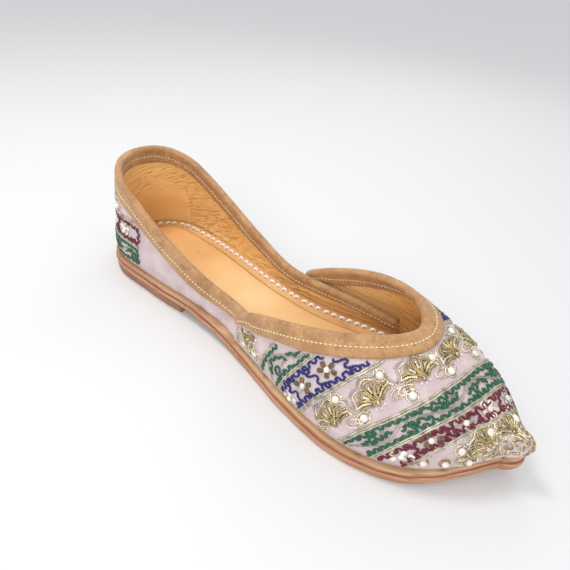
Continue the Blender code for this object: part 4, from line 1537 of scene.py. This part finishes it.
work = Needlework(vamp_band("toe", "tip"))
length = work.band.length
for share, w, spin, size in TOE_FLOWERS:
    gold_flower(work, share * length, w, spin, size)
for share, w in TOE_PEARLS:
    ringed_pearl(work, share * length, w * float(work.band.half_at(share * length)))
for x in EDGE_PEARLS:
    for girth in (-EDGE_GIRTH, EDGE_GIRTH):
        spot = vamp_spot(np.array([x]), np.array([girth]))
        work.dome(spot, pearl, 1.5, 0.7, 14, 6)
        work.ring(spot, antique_gold, 2.0, 0.32)
chance = np.random.RandomState(91)
rows = np.concatenate([np.arange(COIL_START, RUN, COIL_GAP), RUN + NIB_ARC * np.linspace(0.12, 0.95, 6)])
for row, x in enumerate(rows):
    count = 13 if x < COILS_FEWER else 11
    for number in range(count):
        girth = EDGE_GIRTH * ((2 * number + 1) / count - 1) + chance.uniform(-0.02, 0.02)
        if x < COILS_FROM_EDGE and abs(girth) < 0.5:
            continue
        here, n = vamp_spot(np.array([x]), np.array([girth]))
        odd = (row + number) % 2
        lean = chance.uniform(-0.5, 0.5) + (0.9 if odd else -0.9)
        u = unit(np.cross(n, [math.cos(lean), math.sin(lean), 0.3]))
        along = np.linspace(-COIL_HALF, COIL_HALF, 9)[:, None]
        laid = press_on(here + u * along + np.cross(n, u) * 0.5 * np.cos(along * 1.1), WALL)
        work.coil(laid, pale_gold if odd else antique_gold, 0.46)
toe_work = work.sew("toe_embroidery")


def draw_out_tip(piece):
    """The tip comes to a low point that leans forward over the sole's nib."""
    points = points_of(piece)
    front = smooth_step(points[:, 0], TIP_START, TIP_END) * smooth_step(points[:, 2], TIP_LOW, TIP_HIGH)
    points[:, 1] += (centre_y(RUN) - points[:, 1]) * 0.5 * front
    points[:, 0] += TIP_FORWARD * front
    points[:, 2] += TIP_UP * front
    move_points(piece, points)


draw_out_tip(upper)
draw_out_tip(toe_work)


# The top of the heel. Gold flowers and ringed pearls stand on the plain ground between the maroon band and
# the binding, one flower at the back and one on each side.
work = Needlework(heel_band("maroon top", "binding"))
middle = work.band.length / 2
for s, w, spin, size in ((0.0, 1.2, 0, 1.25), (-21.0, 2.6, 8, 1.15), (21.0, 2.6, -8, 1.15)):
    gold_flower(work, middle + s, w, spin, size)
for s, w in ((-11.0, 3.6), (11.0, 3.6), (-33.0, 4.4), (33.0, 4.4)):
    ringed_pearl(work, middle + s, w, 1.6, 2.4)
work.sew("heel_flower_embroidery")


# The floor, the light and the camera. The floor is plain and pale, lit softly from above and behind.
FLOOR_SIZE = 30000.0
CAMERA_TURN = 38.0
CAMERA_RISE = 35.5
CAMERA_ROLL = 6.0
CAMERA_DISTANCE = 283.0
CAMERA_AIM = (74.2, 21.3, 10.0)
LENS = 32.5


def make_floor():
    half = FLOOR_SIZE / 2
    corners = [(-half, -half, 0.0), (half, -half, 0.0), (half, half, 0.0), (-half, half, 0.0)]
    made, _, shader = new_finish("pale floor", (0.76, 0.76, 0.765), 0.6)
    shader.inputs["Specular IOR Level"].default_value = 0.3
    floor = mesh_piece("floor", corners, [[0, 1, 2, 3]], [made], weld=False)


def soft_light(name, place, aim, size, power, colour=(1.0, 1.0, 1.0)):
    data = bpy.data.lights.new(name, "AREA")
    data.shape = "DISK"
    data.size = size * MM
    data.energy = power
    data.color = colour
    lamp = bpy.data.objects.new(name, data)
    lamp.location = Vector(place) * MM
    lamp.rotation_euler = (Vector(aim) - Vector(place)).to_track_quat("-Z", "Y").to_euler()
    bpy.context.scene.collection.objects.link(lamp)


def make_camera():
    turn, rise = math.radians(CAMERA_TURN), math.radians(CAMERA_RISE)
    back = Vector((math.sin(turn) * math.cos(rise), -math.cos(turn) * math.cos(rise), math.sin(rise)))
    data = bpy.data.cameras.new("camera")
    data.lens = LENS
    data.sensor_width = 36.0
    data.clip_start = 0.01
    camera = bpy.data.objects.new("camera", data)
    facing = (-back).to_track_quat("-Z", "Y").to_matrix().to_4x4()
    spot = (Vector(CAMERA_AIM) + back * CAMERA_DISTANCE) * MM
    roll = Matrix.Rotation(math.radians(CAMERA_ROLL), 4, "Z")
    camera.matrix_world = Matrix.Translation(spot) @ facing @ roll
    bpy.context.scene.collection.objects.link(camera)
    bpy.context.scene.camera = camera


make_floor()
soft_light("key", (-170.0, -60.0, 620.0), (90.0, 0.0, 0.0), 200.0, 1.5, (1.0, 0.985, 0.96))
soft_light("fill", (380.0, -560.0, 460.0), (90.0, 0.0, 20.0), 420.0, 1.95, (0.99, 0.995, 1.0))
soft_light("back", (-100.0, 520.0, 420.0), (90.0, 0.0, 20.0), 300.0, 0.35)
world = bpy.data.worlds.new("studio")
world.use_nodes = True
world.node_tree.nodes["Background"].inputs["Color"].default_value = (0.97, 0.98, 1.0, 1.0)
world.node_tree.nodes["Background"].inputs["Strength"].default_value = 0.80
bpy.context.scene.world = world
bpy.context.scene.view_settings.view_transform = "Standard"
make_camera()
